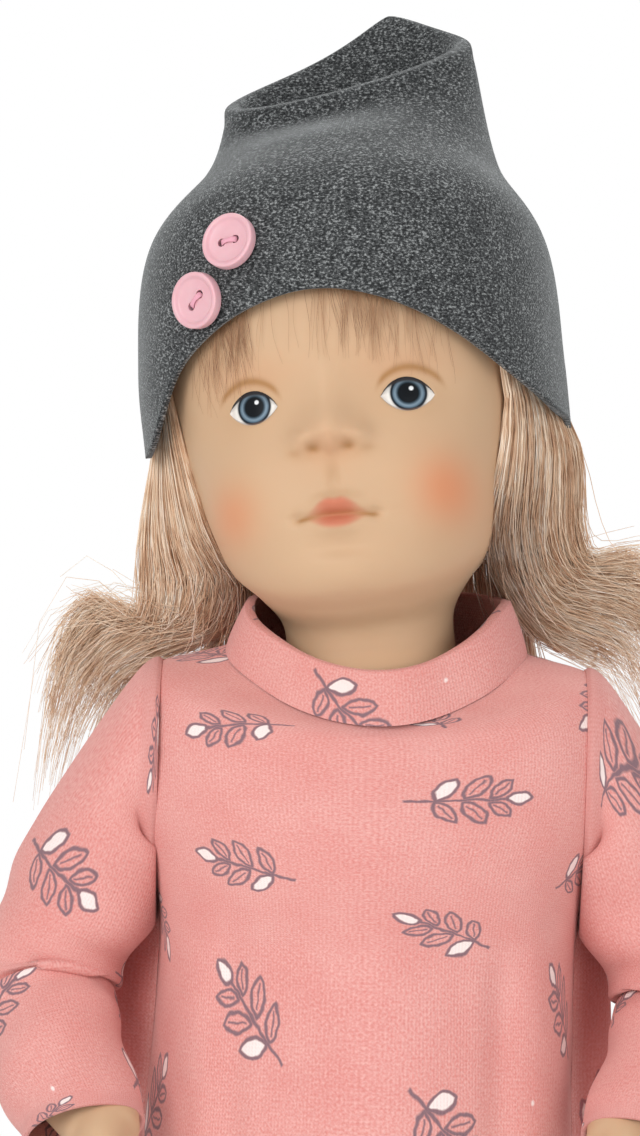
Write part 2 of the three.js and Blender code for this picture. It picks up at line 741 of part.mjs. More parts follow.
function makeShoes() {
  const sole = new THREE.ExtrudeGeometry(soleShape(SHOE_WALL), {
    depth: SOLE, bevelEnabled: false, curveSegments: 7,
  }).translate(FOOT_X, 0, 0);
  addPair(doll, 'shoe_sole', solid(sole), SOLE_RUBBER);

  const topLine = SOLE + 13;
  const vamp = FOOT_BACK - FOOT_LENGTH * 0.78;
  const outer = footBody(FIT_GAP + SHOE_WALL);
  const inner = join(footBody(FIT_GAP, SOLE - 1), ankleBody(FIT_GAP));
  const mouth = join(
    solid(box(
      new THREE.Vector3(-FAR, vamp, topLine),
      new THREE.Vector3(FAR, FAR, FAR),
    )),
    solid(bar(
      new THREE.Vector3(FOOT_X, vamp, SOLE + 8),
      new THREE.Vector3(FOOT_X, vamp, FAR / 4), FOOT_WIDTH * 0.34,
    )),
  );
  const ground = solid(box(
    new THREE.Vector3(-FAR, -FAR, -FAR), new THREE.Vector3(FAR, FAR, SOLE),
  ));
  const upper = largest(cut(outer, inner, mouth, ground));
  addPair(doll, 'shoe_upper', upper, SHOE_LEATHER);

  const strapY = -(legAt(ANKLE_Z)[2] + SHOE_STRAP_CLEAR + SHOE_STRAP_WIDTH / 2);
  const band = solid(box(
    new THREE.Vector3(-FAR, strapY - SHOE_STRAP_WIDTH / 2, topLine + FIT_GAP),
    new THREE.Vector3(FAR, strapY + SHOE_STRAP_WIDTH / 2, FAR),
  ));
  const strap = largest(common(cut(outer, inner), band));
  addPair(doll, 'shoe_strap', strap, SHOE_LEATHER);

  const strapTop = strap.boundingBox().max[2];
  const button = new THREE.LatheGeometry(
    [[0, 0], [SHOE_BUTTON_R, 0], [SHOE_BUTTON_R, 0.9], [SHOE_BUTTON_R * 0.6, 1.9], [0, 2.2]]
      .map(([r, z]) => new THREE.Vector2(r, z)), 14,
  ).rotateX(Math.PI / 2);
  button.translate(FOOT_X, strapY, strapTop + FIT_GAP);
  addPair(doll, 'shoe_button', solid(button), PINK_PLASTIC);
}

// Leggings: a seat over the hips and a tube on each leg

function makeLeggings() {
  const over = FIT_GAP + LEGGING_JERSEY;
  const waist = solid(beyond(new THREE.Vector3(0, 0, WAIST_Z - WAISTBAND - FIT_GAP), HEAD_UP));
  const crotch = TORSO_LOW - over;
  const seatBottom = solid(loft([
    torsoRing(TORSO_LOW + 2, over),
    torsoRing(TORSO_LOW, over - 1).map((p) => p.setZ(crotch)),
  ]));
  const underside = solid(loft([
    torsoRing(TORSO_LOW + 1, FIT_GAP),
    torsoRing(TORSO_LOW, FIT_GAP).map((p) => p.setZ(TORSO_LOW - FIT_GAP)),
  ]));
  const hips = bothSides(legSpace(-FIT_GAP));
  const seat = cut(join(torsoBody(over), seatBottom), torsoBody(FIT_GAP), underside, waist, ...hips);
  add(doll, 'leggings_seat', largest(seat), GREY_JERSEY);

  const bandRings = evenly(WAIST_Z - WAISTBAND, WAIST_Z, 3).map((z) => torsoRing(z, over + 0.6));
  add(doll, 'leggings_waistband', clothTube(bandRings, LEGGING_JERSEY + 0.5), GREY_JERSEY);

  const cloth = cut(legBody(-over, 12, 14), legBody(-FIT_GAP, 12, 14));
  const cuff = solid(beyond(new THREE.Vector3(0, 0, ANKLE_CUFF_Z), HEAD_UP));
  const middle = solid(beyond(new THREE.Vector3(FIT_GAP, 0, 0), X_AXIS));
  const plane = solid(beyond(HIP.clone().addScaledVector(hipOut, JOINT_GAP), hipOut));
  addPair(doll, 'leggings_leg', largest(common(cloth, cuff, middle, plane)), GREY_JERSEY);
}

// Sweatshirt

// Height of the neckline's seam round the neck
function necklineZ(angle) {
  const facing = Math.cos(angle);
  const { front, side, back } = NECKLINE_RISE;
  const rise = facing > 0 ? side - (side - front) * facing ** 1.6 : side + (back - side) * -facing;
  return NECK_SEAT.z + rise;
}

function shirtRings(count, rows) {
  const over = FIT_GAP + LEGGING_JERSEY + FIT_GAP + JERSEY;
  const stations = [
    [HEM_Z, torsoAt(HEM_Z)[0] + over + HEM_FLARE, 40, 42],
    [258, 45.4, 38.5, 39.2],
    [284, 45, 36.5, 37.6],
    [298, SEAM_X + 1.2, 35.2, 37.4],
    [SHOULDER_Z, SEAM_X + 8, 33, 36.8],
  ];
  const columns = angles(count).map((angle) => {
    const points = stations.map(([z, width, front, back]) =>
      ovalPoint(angle, width, front, back, TORSO_POWER).setZ(z),
    );
    const sideways = Math.sin(angle) ** 2;
    points.push(ovalPoint(angle, SEAM_X + 6, 30.5, 34.8, TORSO_POWER).setZ(330 + 10 * sideways));
    points.push(ovalPoint(angle, NECKLINE.w, NECKLINE.front, NECKLINE.back).setZ(necklineZ(angle)));
    const curve = new THREE.CatmullRomCurve3(points);
    return evenly(0, 1, rows).map((t) => {
      const point = curve.getPoint(t);
      const swell = 1 + (HEM_WAVE / 45) * (1 - t) ** 2 * (1 + Math.sin(HEM_WAVES * angle + 6 * t));
      return point.multiply(new THREE.Vector3(swell, swell, 1));
    });
  });
  return evenly(0, rows - 1, rows).map((row) => columns.map((column) => column[row]));
}

function makeShirt() {
  const rings = shirtRings(28, 11);
  const cloth = solid(clothTube(rings, JERSEY));
  const seams = bothSides(solid(beyond(new THREE.Vector3(SEAM_X, 0, SHOULDER_Z), X_AXIS)));
  const body = cut(cloth, ...seams);
  const sideSeam = new THREE.Vector3(0, 2, 0);
  const toFront = new THREE.Vector3(0, -1, 0);
  const toBack = new THREE.Vector3(0, 1, 0);
  const back = common(body, solid(beyond(sideSeam.clone().setY(2 + FIT_GAP), toBack)));
  add(doll, 'shirt_front', largest(common(body, solid(beyond(sideSeam, toFront)))), PINK_JERSEY);

  // The left back panel laps over the right one, whose edge is stepped in to lie under it
  const step = JERSEY + 2 * TAPE + 3 * TAPE_GAP;
  const lapEdge = -CLOSURE_LAP;
  const leftBack = common(back, solid(beyond(new THREE.Vector3(lapEdge, 0, 0), X_AXIS)));
  add(doll, 'shirt_back_left', largest(leftBack), PINK_JERSEY);
  const toRight = new THREE.Vector3(-1, 0, 0);
  const under = offsetRings(rings, step);
  const lapped = solid(clothTube(under, JERSEY));
  const jog = solid(hoop([...rings, ...offsetRings(rings, step + JERSEY).reverse()]));
  const backHalf = solid(beyond(new THREE.Vector3(0, 12, 0), toBack));
  const between = (from, to) =>
    solid(box(new THREE.Vector3(from, -FAR, -FAR), new THREE.Vector3(to, FAR, FAR)));
  const jogEdge = lapEdge - FIT_GAP;
  const rightBack = join(
    common(back, solid(beyond(new THREE.Vector3(jogEdge, 0, 0), toRight))),
    common(lapped, backHalf, between(jogEdge - JERSEY / 2, CLOSURE_LAP)),
    common(jog, backHalf, between(jogEdge - JERSEY, jogEdge)),
  );
  add(doll, 'shirt_back_right', largest(rightBack), PINK_JERSEY);

  // Hook tape sewn inside the left panel, loop tape outside the right one
  const tapeLength = solid(box(
    new THREE.Vector3(-TAPE_WIDTH / 2, 12, HEM_Z + 6), new THREE.Vector3(TAPE_WIDTH / 2, FAR, SHOULDER_Z + 8),
  ));
  const tape = (depth) => largest(common(solid(clothTube(offsetRings(rings, depth), TAPE)), tapeLength));
  add(doll, 'closure_hook_tape', tape(JERSEY + TAPE_GAP), TAPE_WHITE);
  add(doll, 'closure_loop_tape', tape(JERSEY + TAPE + 2 * TAPE_GAP), TAPE_WHITE);
}

function makeNeckband() {
  const edge = (angle, up, inwards) => {
    const { w, front, back } = NECKLINE;
    const lean = inwards + (NECKBAND_LEAN * up) / NECKBAND;
    return ovalPoint(angle, w - lean, front - lean, back - lean).setZ(necklineZ(angle) + FIT_GAP + up);
  };
  const profile = [
    [0, 0], [NECKBAND / 2, -0.7], [NECKBAND - 0.5, 0], [NECKBAND, JERSEY / 2],
    [NECKBAND - 0.5, JERSEY + 0.4], [NECKBAND / 2, JERSEY], [0, JERSEY],
  ];
  const rings = profile.map(([up, inwards]) => angles(AROUND).map((angle) => edge(angle, up, inwards)));
  const opening = solid(box(
    new THREE.Vector3(-FIT_GAP, 0, 0), new THREE.Vector3(FIT_GAP, FAR, FAR),
  ));
  add(doll, 'neckband', largest(cut(solid(hoop(rings)), opening)), PINK_JERSEY);
}

function sleeveBody(inset, tail) {
  // The cloth bunches above and below the elbow's crease
  const elbowFolds = [SLEEVE_R + 0.8, SLEEVE_R - 1.6, SLEEVE_R + 0.6];
  const folds = [SLEEVE_R, SLEEVE_R, ...elbowFolds, CUFF_R + 1, CUFF_R];
  const radii = folds.map((r) => r - inset);
  const { x, y, z } = SLEEVE_HEAD;
  const head = ball(ORIGIN, 1, 14).scale(x - inset, y - inset, z - inset);
  return join(
    solid(head.translate(SEAM_X, 0, SHOULDER_Z)),
    solid(sweep(armPath(tail), round(radii), X_AXIS, 12, 12)),
  );
}

function makeSleeves() {
  const armhole = solid(box(
    new THREE.Vector3(-FAR, -FAR, ARMPIT_Z), new THREE.Vector3(SEAM_X + JOINT_GAP, FAR, FAR),
  ));
  const cloth = cut(sleeveBody(0, -3), sleeveBody(JERSEY, 4), armhole);
  addPair(doll, 'sleeve', largest(cloth), PINK_JERSEY);
}

// Wig: a fitted cap, a fringe on the forehead, two side locks and the hair down the back

// The hat's brim lies in a plane that is high at the forehead and low at the nape
const brimSlope = (BRIM_BACK.y - BRIM_FRONT.y) / (BRIM_BACK.x - BRIM_FRONT.x);
const brimZ = (y) => BRIM_FRONT.y + (y - BRIM_FRONT.x) * brimSlope;

function aboveBrim(height) {
  const normal = new THREE.Vector3(0, -brimSlope, 1).normalize();
  return solid(beyond(new THREE.Vector3(0, BRIM_FRONT.x, BRIM_FRONT.y + height), normal));
}

function makeWigCap() {
  const shellOf = (inset) => solid(loft(headRings(13, 20, inset, false)));
  const lift = 2.2;
  const cap = largest(common(cut(shellOf(-lift - WIG_CAP), shellOf(-lift)), aboveBrim(HAIRLINE)));
  add(headGroup, 'wig_cap', cap, WIG_NET);
}

function makeFringe() {
  const lift = 0.45;
  const bottom = BRIM_FRONT.y - FRINGE_DROP;
  const shellOf = (inset) => {
    const rings = evenly(bottom - 6, BRIM_FRONT.y + 4, 4).map((z) =>
      angles(36).map((angle) => headPoint(angle, z, inset, true)),
    );
    return solid(loft(rings));
  };
  const reach = FRINGE_HALF_WIDTH;
  const wedge = solid(box(
    new THREE.Vector3(-reach, -FAR, bottom), new THREE.Vector3(reach, -20, BRIM_FRONT.y + 3.6),
  ));
  const fringe = common(cut(shellOf(-lift - FRINGE_THICK), shellOf(-lift)), wedge);
  add(headGroup, 'hair_fringe', largest(cut(fringe, aboveBrim(HAIRLINE - 2 * FIT_GAP))), HAIR);
}

// A place in the head's own frame, as the doll sees it
const fromHead = (x, y, z) => new THREE.Vector3(x, y, z).applyMatrix4(headGroup.matrix);

// Hair shows from the hat's edge down, and lies against the head
function hangHair(geometry) {
  const underHat = geometryOf(aboveBrim(-2 * FIT_GAP)).applyMatrix4(headGroup.matrix);
  const head = loft(headRings(25, 36, -FIT_GAP, true)).applyMatrix4(headGroup.matrix);
  return largest(cut(solid(geometry), solid(underHat), solid(head)));
}

// Side locks leave the hat before the ears, fall to the shoulders and flip outwards behind them
function makeSideLock(side) {
  const path = [
    fromHead(side * 43, 4, 70),
    fromHead(side * 42, 4, 56),
    fromHead(side * 39, 7, 42),
    fromHead(side * 38, 13, 28),
    new THREE.Vector3(side * 48, 25.6, 353.8),
    new THREE.Vector3(side * 58, 32, 343),
    new THREE.Vector3(side * 68, 35, 329),
    new THREE.Vector3(side * 71, 37, 314),
  ];
  const halves = [[11, 2], [12, 4], [12.5, 8], [12, 12.5], [11, 17], [9, 17], [8, 13], [4, 5]];
  return hangHair(sweep(path, halves, new THREE.Vector3(0, 1, 0.15), 12, 12));
}

// The hair down the back: rows of [height, half width, outer face, thickness]
function makeBackHair() {
  const rows = [
    [383, 28, 58, 3.5],
    [372, 29, 56.5, 4.5],
    [360, 29, 55.5, 7],
    [346, 30, 59, 11],
    [325, 37, 60, 13],
    [304, 42, 60.5, 13],
    [288, 38, 60, 10],
    [279, 26, 57, 5],
  ];
  const across = evenly(-1, 1, 9);
  const rings = rows.map(([z, half, back, thick]) => {
    const lean = Math.max(0, z - NECK_SEAT.z) * Math.tan(HEAD_LEAN);
    const bow = (share, shrink) => {
      const drop = 0.5 * half * share * share * (z > NECK_SEAT.z ? 1 : 0.45);
      return new THREE.Vector3(lean + share * (half - shrink), back - shrink - drop, z);
    };
    return [...across.map((share) => bow(share, 0)), ...across.map((share) => bow(-share, thick))];
  });
  return hangHair(slab(rings));
}

// Hat

// One line of the hat's cloth, from the brim over the dome and the folded top into the dent
function hatLine(angle) {
  const sin = Math.sin(angle);
  const cos = Math.cos(angle);
  const ring = (width, front, back, z) => ovalPoint(angle, width, front, back, HEAD_POWER).setZ(z);
  const domeHalf = HEAD_HALF + HAT_EASE.dome;
  const brim = ring(HEAD_HALF + HAT_EASE.brim, -BRIM_FRONT.x, BRIM_BACK.x, 0);
  brim.z = brimZ(brim.y);
  const low = ring(domeHalf, -BRIM_FRONT.x + 0.4, BRIM_BACK.x + 5, 0);
  low.z = brimZ(brim.y) + 16 - 6.5 * cos;
  const high = ring(domeHalf * 0.92, -BRIM_FRONT.x - 5, BRIM_BACK.x + 3.5, 97 + 10 * cos);
  const upper = ring(HAT_TOP_HALF.x + 4.5, 25, 44, 114.5 + 5 * cos);
  upper.x += HAT_TOP_CENTRE.x / 2;
  const fromPeak = Math.atan2(Math.sin(angle - HAT_PEAK_AT), Math.cos(angle - HAT_PEAK_AT));
  const peak = HAT_PEAK * Math.exp(-((fromPeak / 0.45) ** 2));
  const tilt = HAT_TOP_TILT.x * sin - HAT_TOP_TILT.y * cos + peak;
  const fold = (share, depth, z) =>
    new THREE.Vector3(HAT_TOP_HALF.x * share * sin, -HAT_TOP_HALF.y * depth * cos, z).add(
      new THREE.Vector3(HAT_TOP_CENTRE.x, HAT_TOP_CENTRE.y, 0),
    );
  const rimZ = HAT_TOP_CENTRE.z + tilt;
  return [
    brim, low, high, upper,
    fold(1.02, 1.1, rimZ - 5),
    fold(0.97, 0.97, rimZ),
    fold(0.85, 0.8, rimZ - 2.5),
    fold(0.66, 0.5, HAT_DENT_Z + 4),
    fold(0.28, 0.12, HAT_DENT_Z),
  ];
}

function hatRings(count, rows) {
  const lines = angles(count).map((angle) => {
    const curve = new THREE.CatmullRomCurve3(hatLine(angle), false, 'centripetal');
    return evenly(0, 1, rows).map((t) => curve.getPoint(t));
  });
  return evenly(0, rows - 1, rows).map((row) => lines.map((line) => line[row]));
}

function makeHat() {
  add(headGroup, 'hat', solid(clothCap(hatRings(28, 16), JERSEY)), GREY_JERSEY);
}

// Frame of a place on the hat: its point, and the way out of the cloth as +Z
function hatPlace(angle, share) {
  const spot = (a, s) => new THREE.CatmullRomCurve3(hatLine(a), false, 'centripetal').getPoint(s * 0.45);
  const point = spot(angle, share);
  const up = spot(angle, share + 0.04).sub(spot(angle, share - 0.04)).normalize();
  const along = spot(angle + 0.04, share).sub(spot(angle - 0.04, share)).normalize();
  const out = new THREE.Vector3().crossVectors(along, up).normalize();
  const right = new THREE.Vector3().crossVectors(up, out).normalize();
  return new THREE.Matrix4().makeBasis(right, up, out).setPosition(point);
}

// Two-hole button with a raised rim and a dished middle
function buttonBody() {
  const dish = BUTTON_R * 0.68;
  const profile = [
    [0, 0], [BUTTON_R - 0.8, 0], [BUTTON_R, 0.9], [BUTTON_R, BUTTON_THICK - 0.6], [BUTTON_R - 0.7, BUTTON_THICK],
    [dish + 0.6, BUTTON_THICK], [dish - 0.6, BUTTON_THICK - 0.8], [0, BUTTON_THICK - 0.8],
  ].map(([r, z]) => new THREE.Vector2(r, z));
  const disc = solid(new THREE.LatheGeometry(profile, 18).rotateX(Math.PI / 2));
  const holes = [-1, 1].map((side) => {
    const x = (side * BUTTON_HOLE_SPACING) / 2;
    return solid(bar(new THREE.Vector3(x, 0, -1), new THREE.Vector3(x, 0, BUTTON_THICK + 1), BUTTON_HOLE_R, 8));
  });
  return cut(disc, ...holes);
}

// Sewing thread that comes up through one hole and down through the other
function threadBody() {
  const half = BUTTON_HOLE_SPACING / 2;
  const top = BUTTON_THICK - 0.8 + FIT_GAP + THREAD_R;
  const path = new THREE.CatmullRomCurve3([
    [-half, 0.1], [-half, top - 0.9], [-half * 0.72, top], [0, top + 0.15],
    [half * 0.72, top], [half, top - 0.9], [half, 0.1],
  ].map(([x, z]) => new THREE.Vector3(x, 0, z)));
  const section = new THREE.Shape().absarc(0, 0, THREAD_R, 0, 2 * Math.PI);
  return solid(new THREE.ExtrudeGeometry(section, { steps: 9, extrudePath: path, curveSegments: 3 }));
}

function makeButtons() {
  const turns = { upper: 0, lower: 0.7 };
  for (const [name, [angle, share]] of Object.entries(BUTTON_PLACES)) {
    const group = new THREE.Group();
    // A flat button on round cloth stands off by the cloth's rise under its edge
    const standOff = FIT_GAP + 0.55;
    hatPlace(angle, share).decompose(group.position, group.quaternion, group.scale);
    group.translateZ(standOff);
    group.rotateZ(turns[name]);
    add(group, `hat_button_${name}`, buttonBody(), PINK_PLASTIC);
    add(group, `button_thread_${name}`, threadBody(), THREAD);
    headGroup.add(group);
  }
}

makeHead();
makeTorso();
makeArms();
makeLegs();
makeShoes();
makeLeggings();
makeShirt();
makeNeckband();
makeSleeves();
makeWigCap();
makeFringe();
for (const [name, side] of Object.entries(SIDES)) {
  add(doll, `hair_${name}`, makeSideLock(side), HAIR);
}
add(doll, 'hair_back', makeBackHair(), HAIR);
makeHat();
makeButtons();

// The widest reach fore and aft is centred over the origin
doll.position.y = -STANCE_SHIFT;

export default doll;
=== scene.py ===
# %% [markdown]
# # A dressed vinyl doll
# The frame holds the doll's solids: a hollow vinyl body with five joints, a wig and a set of clothes.
# This lesson gives each of them the surface that the eye meets: smooth vinyl, fine hair, knitted cloth.
# The frame comes in first. No piece may stand far outside it.

import math

import bpy
import numpy as np
from mathutils import Matrix, Vector


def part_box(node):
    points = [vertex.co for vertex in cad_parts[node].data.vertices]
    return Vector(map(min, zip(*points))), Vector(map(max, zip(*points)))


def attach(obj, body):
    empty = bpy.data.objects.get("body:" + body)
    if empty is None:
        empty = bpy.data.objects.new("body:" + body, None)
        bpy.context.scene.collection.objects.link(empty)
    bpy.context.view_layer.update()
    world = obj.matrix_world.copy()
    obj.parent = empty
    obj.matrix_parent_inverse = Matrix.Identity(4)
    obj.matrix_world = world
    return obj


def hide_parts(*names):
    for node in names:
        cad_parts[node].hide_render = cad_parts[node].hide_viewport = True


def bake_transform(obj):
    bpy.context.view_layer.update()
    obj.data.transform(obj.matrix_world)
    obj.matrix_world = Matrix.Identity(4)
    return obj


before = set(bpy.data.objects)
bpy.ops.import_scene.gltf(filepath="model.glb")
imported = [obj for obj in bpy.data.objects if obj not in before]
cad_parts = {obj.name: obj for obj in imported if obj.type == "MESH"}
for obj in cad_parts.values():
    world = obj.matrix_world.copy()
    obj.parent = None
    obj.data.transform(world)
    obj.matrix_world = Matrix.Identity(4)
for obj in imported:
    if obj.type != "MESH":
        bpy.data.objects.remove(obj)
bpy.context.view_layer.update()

# %% [markdown]
# ## Camera and light
# The picture is a portrait taken from straight ahead, at the height of the chin and with a long lens.
# One pixel of it is 0.22 mm at the doll, so the picture is 250 mm tall there. The lens follows from that
# height and the distance. The doll stands upright and the camera is rolled a little, as in the picture.

# %% Camera
MM = 0.001
PICTURE_HEIGHT = 1136 * 0.22
CAMERA_DISTANCE = 1300
SENSOR = 36
AIM = Vector((-12.6, -25, 366.0)) * MM
CAMERA_RISE = math.radians(2)
CAMERA_ROLL = math.radians(1.5)

camera_data = bpy.data.cameras.new("portrait_camera")
camera_data.sensor_fit = "VERTICAL"
camera_data.sensor_height = SENSOR
camera_data.lens = SENSOR * CAMERA_DISTANCE / PICTURE_HEIGHT
camera = bpy.data.objects.new("portrait_camera", camera_data)
bpy.context.scene.collection.objects.link(camera)
towards = Vector((0, math.cos(CAMERA_RISE), -math.sin(CAMERA_RISE)))
camera.location = AIM - towards * CAMERA_DISTANCE * MM
camera.rotation_euler = (
    towards.to_track_quat("-Z", "Y").to_matrix() @ Matrix.Rotation(CAMERA_ROLL, 3, "Z")
).to_euler()
bpy.context.scene.camera = camera
print("lens", round(camera_data.lens), "mm, camera at", [round(x, 3) for x in camera.location])

# %% [markdown]
# A material is a tree of nodes. One function adds a node and sets or links its inputs. A few short ones name
# the nodes that come up again and again: sums, ranges, mixes, ramps, noise and bumps.

# %% Node helpers
bpy.context.scene.view_settings.view_transform = "Standard"
WHITE = (1, 1, 1, 1)


def linear(code):
    """A colour such as #f1a69d as the linear red, green, blue and alpha that the shaders take."""
    shares = [int(code[i : i + 2], 16) / 255 for i in (1, 3, 5)]
    return (*[s / 12.92 if s <= 0.04045 else ((s + 0.055) / 1.055) ** 2.4 for s in shares], 1.0)


def feed(tree, made, inputs):
    """Sets or links a node's inputs, by name or number."""
    for key, value in inputs.items():
        if isinstance(value, bpy.types.NodeSocket):
            tree.links.new(value, made.inputs[key])
        else:
            made.inputs[key].default_value = value


def node(tree, kind, settings=None, inputs=None):
    """Adds a node to a tree; its inputs, by name or number, are set or linked."""
    made = tree.nodes.new("ShaderNode" + kind)
    for key, value in (settings or {}).items():
        setattr(made, key, value)
    feed(tree, made, inputs or {})
    return made


def maths(tree, operation, *values):
    """What an operation makes of numbers."""
    return node(tree, "Math", {"operation": operation}, dict(enumerate(values))).outputs[0]


def vectors(tree, operation, *values):
    """What an operation makes of vectors."""
    made = node(tree, "VectorMath", {"operation": operation}, dict(enumerate(values)))
    return made.outputs["Value" if operation in ("LENGTH", "DISTANCE") else "Vector"]


def split(tree, vector):
    """The x, y and z of a vector."""
    return node(tree, "SeparateXYZ", None, {0: vector}).outputs


def ranged(tree, value, start=0.0, end=1.0, low=0.0, high=1.0):
    """Low where a value is at the start, high at the end, and in proportion between."""
    inputs = {"Value": value, "From Min": start, "From Max": end, "To Min": low, "To Max": high}
    return node(tree, "MapRange", None, inputs).outputs[0]


def mix(tree, share, first, second, blend="MIX"):
    """A share of the second colour over the first; each is a hex code or comes from another node."""
    first, second = (linear(c) if isinstance(c, str) else c for c in (first, second))
    settings = {"data_type": "RGBA", "blend_type": blend}
    return node(tree, "Mix", settings, {0: share, 6: first, 7: second}).outputs[2]


def ramp(tree, value, stops):
    """The colour at a value between stops, each a place and a hex code."""
    made = node(tree, "ValToRGB", None, {0: value})
    elements = made.color_ramp.elements
    for at, _ in stops[1:-1]:
        elements.new(at)
    for element, (at, colour) in zip(elements, stops):
        element.position = at
        element.color = linear(colour)
    return made.outputs[0]


def noise(tree, place, scale, detail, roughness=0.5):
    """Soft random patches, so many to the unit."""
    inputs = {"Vector": place, "Scale": scale, "Detail": detail, "Roughness": roughness}
    return node(tree, "TexNoise", None, inputs).outputs[0]


def bump_map(tree, height, strength, distance, invert=False):
    """The surface's lean where a height pattern rises and falls by a distance in metres."""
    inputs = {"Strength": strength, "Distance": distance, "Height": height}
    return node(tree, "Bump", {"invert": invert}, inputs).outputs[0]


def solid_place(tree):
    """Where a point lies in its object, in metres."""
    return node(tree, "TexCoord").outputs["Object"]


def cloth_place(tree, name="UVMap"):
    """Where a point lies on a UV map."""
    return node(tree, "UVMap", {"uv_map": name}).outputs[0]


def start_material(name):
    """A new material with its node tree and its main shader."""
    made = bpy.data.materials.new(name)
    made.use_nodes = True
    return made, made.node_tree, made.node_tree.nodes["Principled BSDF"]


print("colours are shown as written:", bpy.context.scene.view_settings.view_transform)

# %% [markdown]
# Two broad soft lamps light the doll from the front, the stronger one from the upper left, a third one from
# above and behind, and the world adds a pale even light. All together they are set so that a colour renders
# about as it is written. The backdrop is white to the camera alone, which costs the doll no extra light.

# %% Lamps, world and floor
LAMP_AIM = Vector((0, 0, 0.36))
for name, place, watts, size in [
    ("key_lamp", (-0.75, -1.25, 0.95), 13, 0.9),
    ("fill_lamp", (0.95, -1.1, 0.55), 5, 0.9),
    ("top_lamp", (0.1, 0.55, 1.25), 5, 0.7),
]:
    lamp_data = bpy.data.lights.new(name, "AREA")
    lamp_data.energy = watts
    lamp_data.size = size
    lamp = bpy.data.objects.new(name, lamp_data)
    lamp.location = place
    lamp.rotation_euler = (LAMP_AIM - lamp.location).to_track_quat("-Z", "Y").to_euler()
    bpy.context.scene.collection.objects.link(lamp)

world = bpy.data.worlds.new("pale_studio")
bpy.context.scene.world = world
world.use_nodes = True
sky = world.node_tree
rays = node(sky, "LightPath").outputs
seen = maths(sky, "MAXIMUM", rays["Is Camera Ray"], rays["Is Glossy Ray"])
seen = maths(sky, "MAXIMUM", seen, rays["Is Transmission Ray"])
feed(sky, sky.nodes["Background"], {"Color": WHITE, "Strength": ranged(sky, seen, low=0.52)})

# Matt white paper: pale, with a faint mottle, and so bright to the camera that only the doll's shadow shows.
paper, tree, shader = start_material("white_paper")
solid = solid_place(tree)
fade = ranged(tree, vectors(tree, "LENGTH", solid), 0.3, 1.1, low=0.3)
feed(tree, shader, {
    "Base Color": ranged(tree, noise(tree, solid, 6.0, 2.0), low=0.9, high=0.95),
    "Roughness": 0.9,
    "Emission Color": WHITE,
    "Emission Strength": maths(tree, "MULTIPLY", node(tree, "LightPath").outputs["Is Camera Ray"], fade),
})

bpy.ops.mesh.primitive_circle_add(vertices=96, radius=1.2, fill_type="NGON")
floor = bpy.context.object
floor.name = "studio_floor"
floor.data.materials.append(paper)

# %% [markdown]
# ## A grid that becomes a surface
# Most of the doll is round and soft, so the same start serves many pieces: a flat grid, whose points are
# moved to where a formula puts them. The columns go round a section and the rows climb the piece. Where the two
# edges of the grid meet they are welded, and the grid's own UV map is stretched to millimetres of cloth.

# %% Helpers for smooth surfaces
STANCE = np.array((0.0, -9.8, 0.0))  # the feet are centred under the whole figure
SIDES = ((1, "left"), (-1, "right"))
WELD_REACH = 1e-6


def select_only(piece):
    """Makes a piece the only one selected, and the active one."""
    bpy.ops.object.select_all(action="DESELECT")
    piece.select_set(True)
    bpy.context.view_layer.objects.active = piece


def select_faces(piece, picked):
    """Opens a piece in edit mode with only the picked faces selected."""
    bpy.ops.object.mode_set(mode="EDIT")
    bpy.ops.mesh.select_mode(type="FACE")
    bpy.ops.mesh.select_all(action="DESELECT")
    bpy.ops.object.mode_set(mode="OBJECT")
    piece.data.polygons.foreach_set("select", picked)
    bpy.ops.object.mode_set(mode="EDIT")


def read_all(items, key, width):
    """One property of all items, a row each."""
    values = np.empty(len(items) * width)
    items.foreach_get(key, values)
    return values.reshape(-1, width)


def wrap_grid(name, across, along, place, size=(1, 1), weld=True, paint=None):
    """A grid whose points go to place(u, v), in millimetres; size is the UV map's, in millimetres."""
    bpy.ops.mesh.primitive_grid_add(x_subdivisions=across, y_subdivisions=along, size=1)
    piece = bpy.context.object
    piece.name = name
    mesh = piece.data
    u, v, _ = read_all(mesh.vertices, "co", 3).T + 0.5
    mesh.vertices.foreach_set("co", ((place(u, v) + STANCE) * MM).ravel())
    corners = mesh.uv_layers[0].data
    corners.foreach_set("uv", (read_all(corners, "uv", 2) * size).ravel())
    if paint is not None:
        layer = mesh.attributes.new("paint", "FLOAT_COLOR", "POINT")
        layer.data.foreach_set("color", paint(u, v).ravel())
    mesh.update()
    bpy.ops.object.mode_set(mode="EDIT")
    bpy.ops.mesh.select_all(action="SELECT")
    if weld:
        bpy.ops.mesh.remove_doubles(threshold=WELD_REACH)
    bpy.ops.object.mode_set(mode="OBJECT")
    bpy.ops.object.shade_smooth()
    return piece


def mirrored(place, side):
    """The same surface for the doll's right: x turns round, and so does the way round the grid."""
    return place if side > 0 else lambda u, v: place(1 - u, v) * (-1, 1, 1)


def apply_modifier(piece, kind, **settings):
    """Adds a modifier with its settings and applies it."""
    select_only(piece)
    made = piece.modifiers.new(kind.lower(), kind)
    for key, value in settings.items():
        setattr(made, key, value)
    bpy.ops.object.modifier_apply(modifier=made.name)


def thicken(piece, thick, offset=-1):
    """Gives a surface a thickness in millimetres: inwards with offset -1, outwards with 1."""
    apply_modifier(piece, "SOLIDIFY", thickness=thick * MM, offset=offset)


def cut_away(piece, tool):
    """Takes the form of a tool out of a piece, and puts the tool away."""
    apply_modifier(piece, "BOOLEAN", object=tool, operation="DIFFERENCE", solver="EXACT")
    bpy.data.objects.remove(tool)


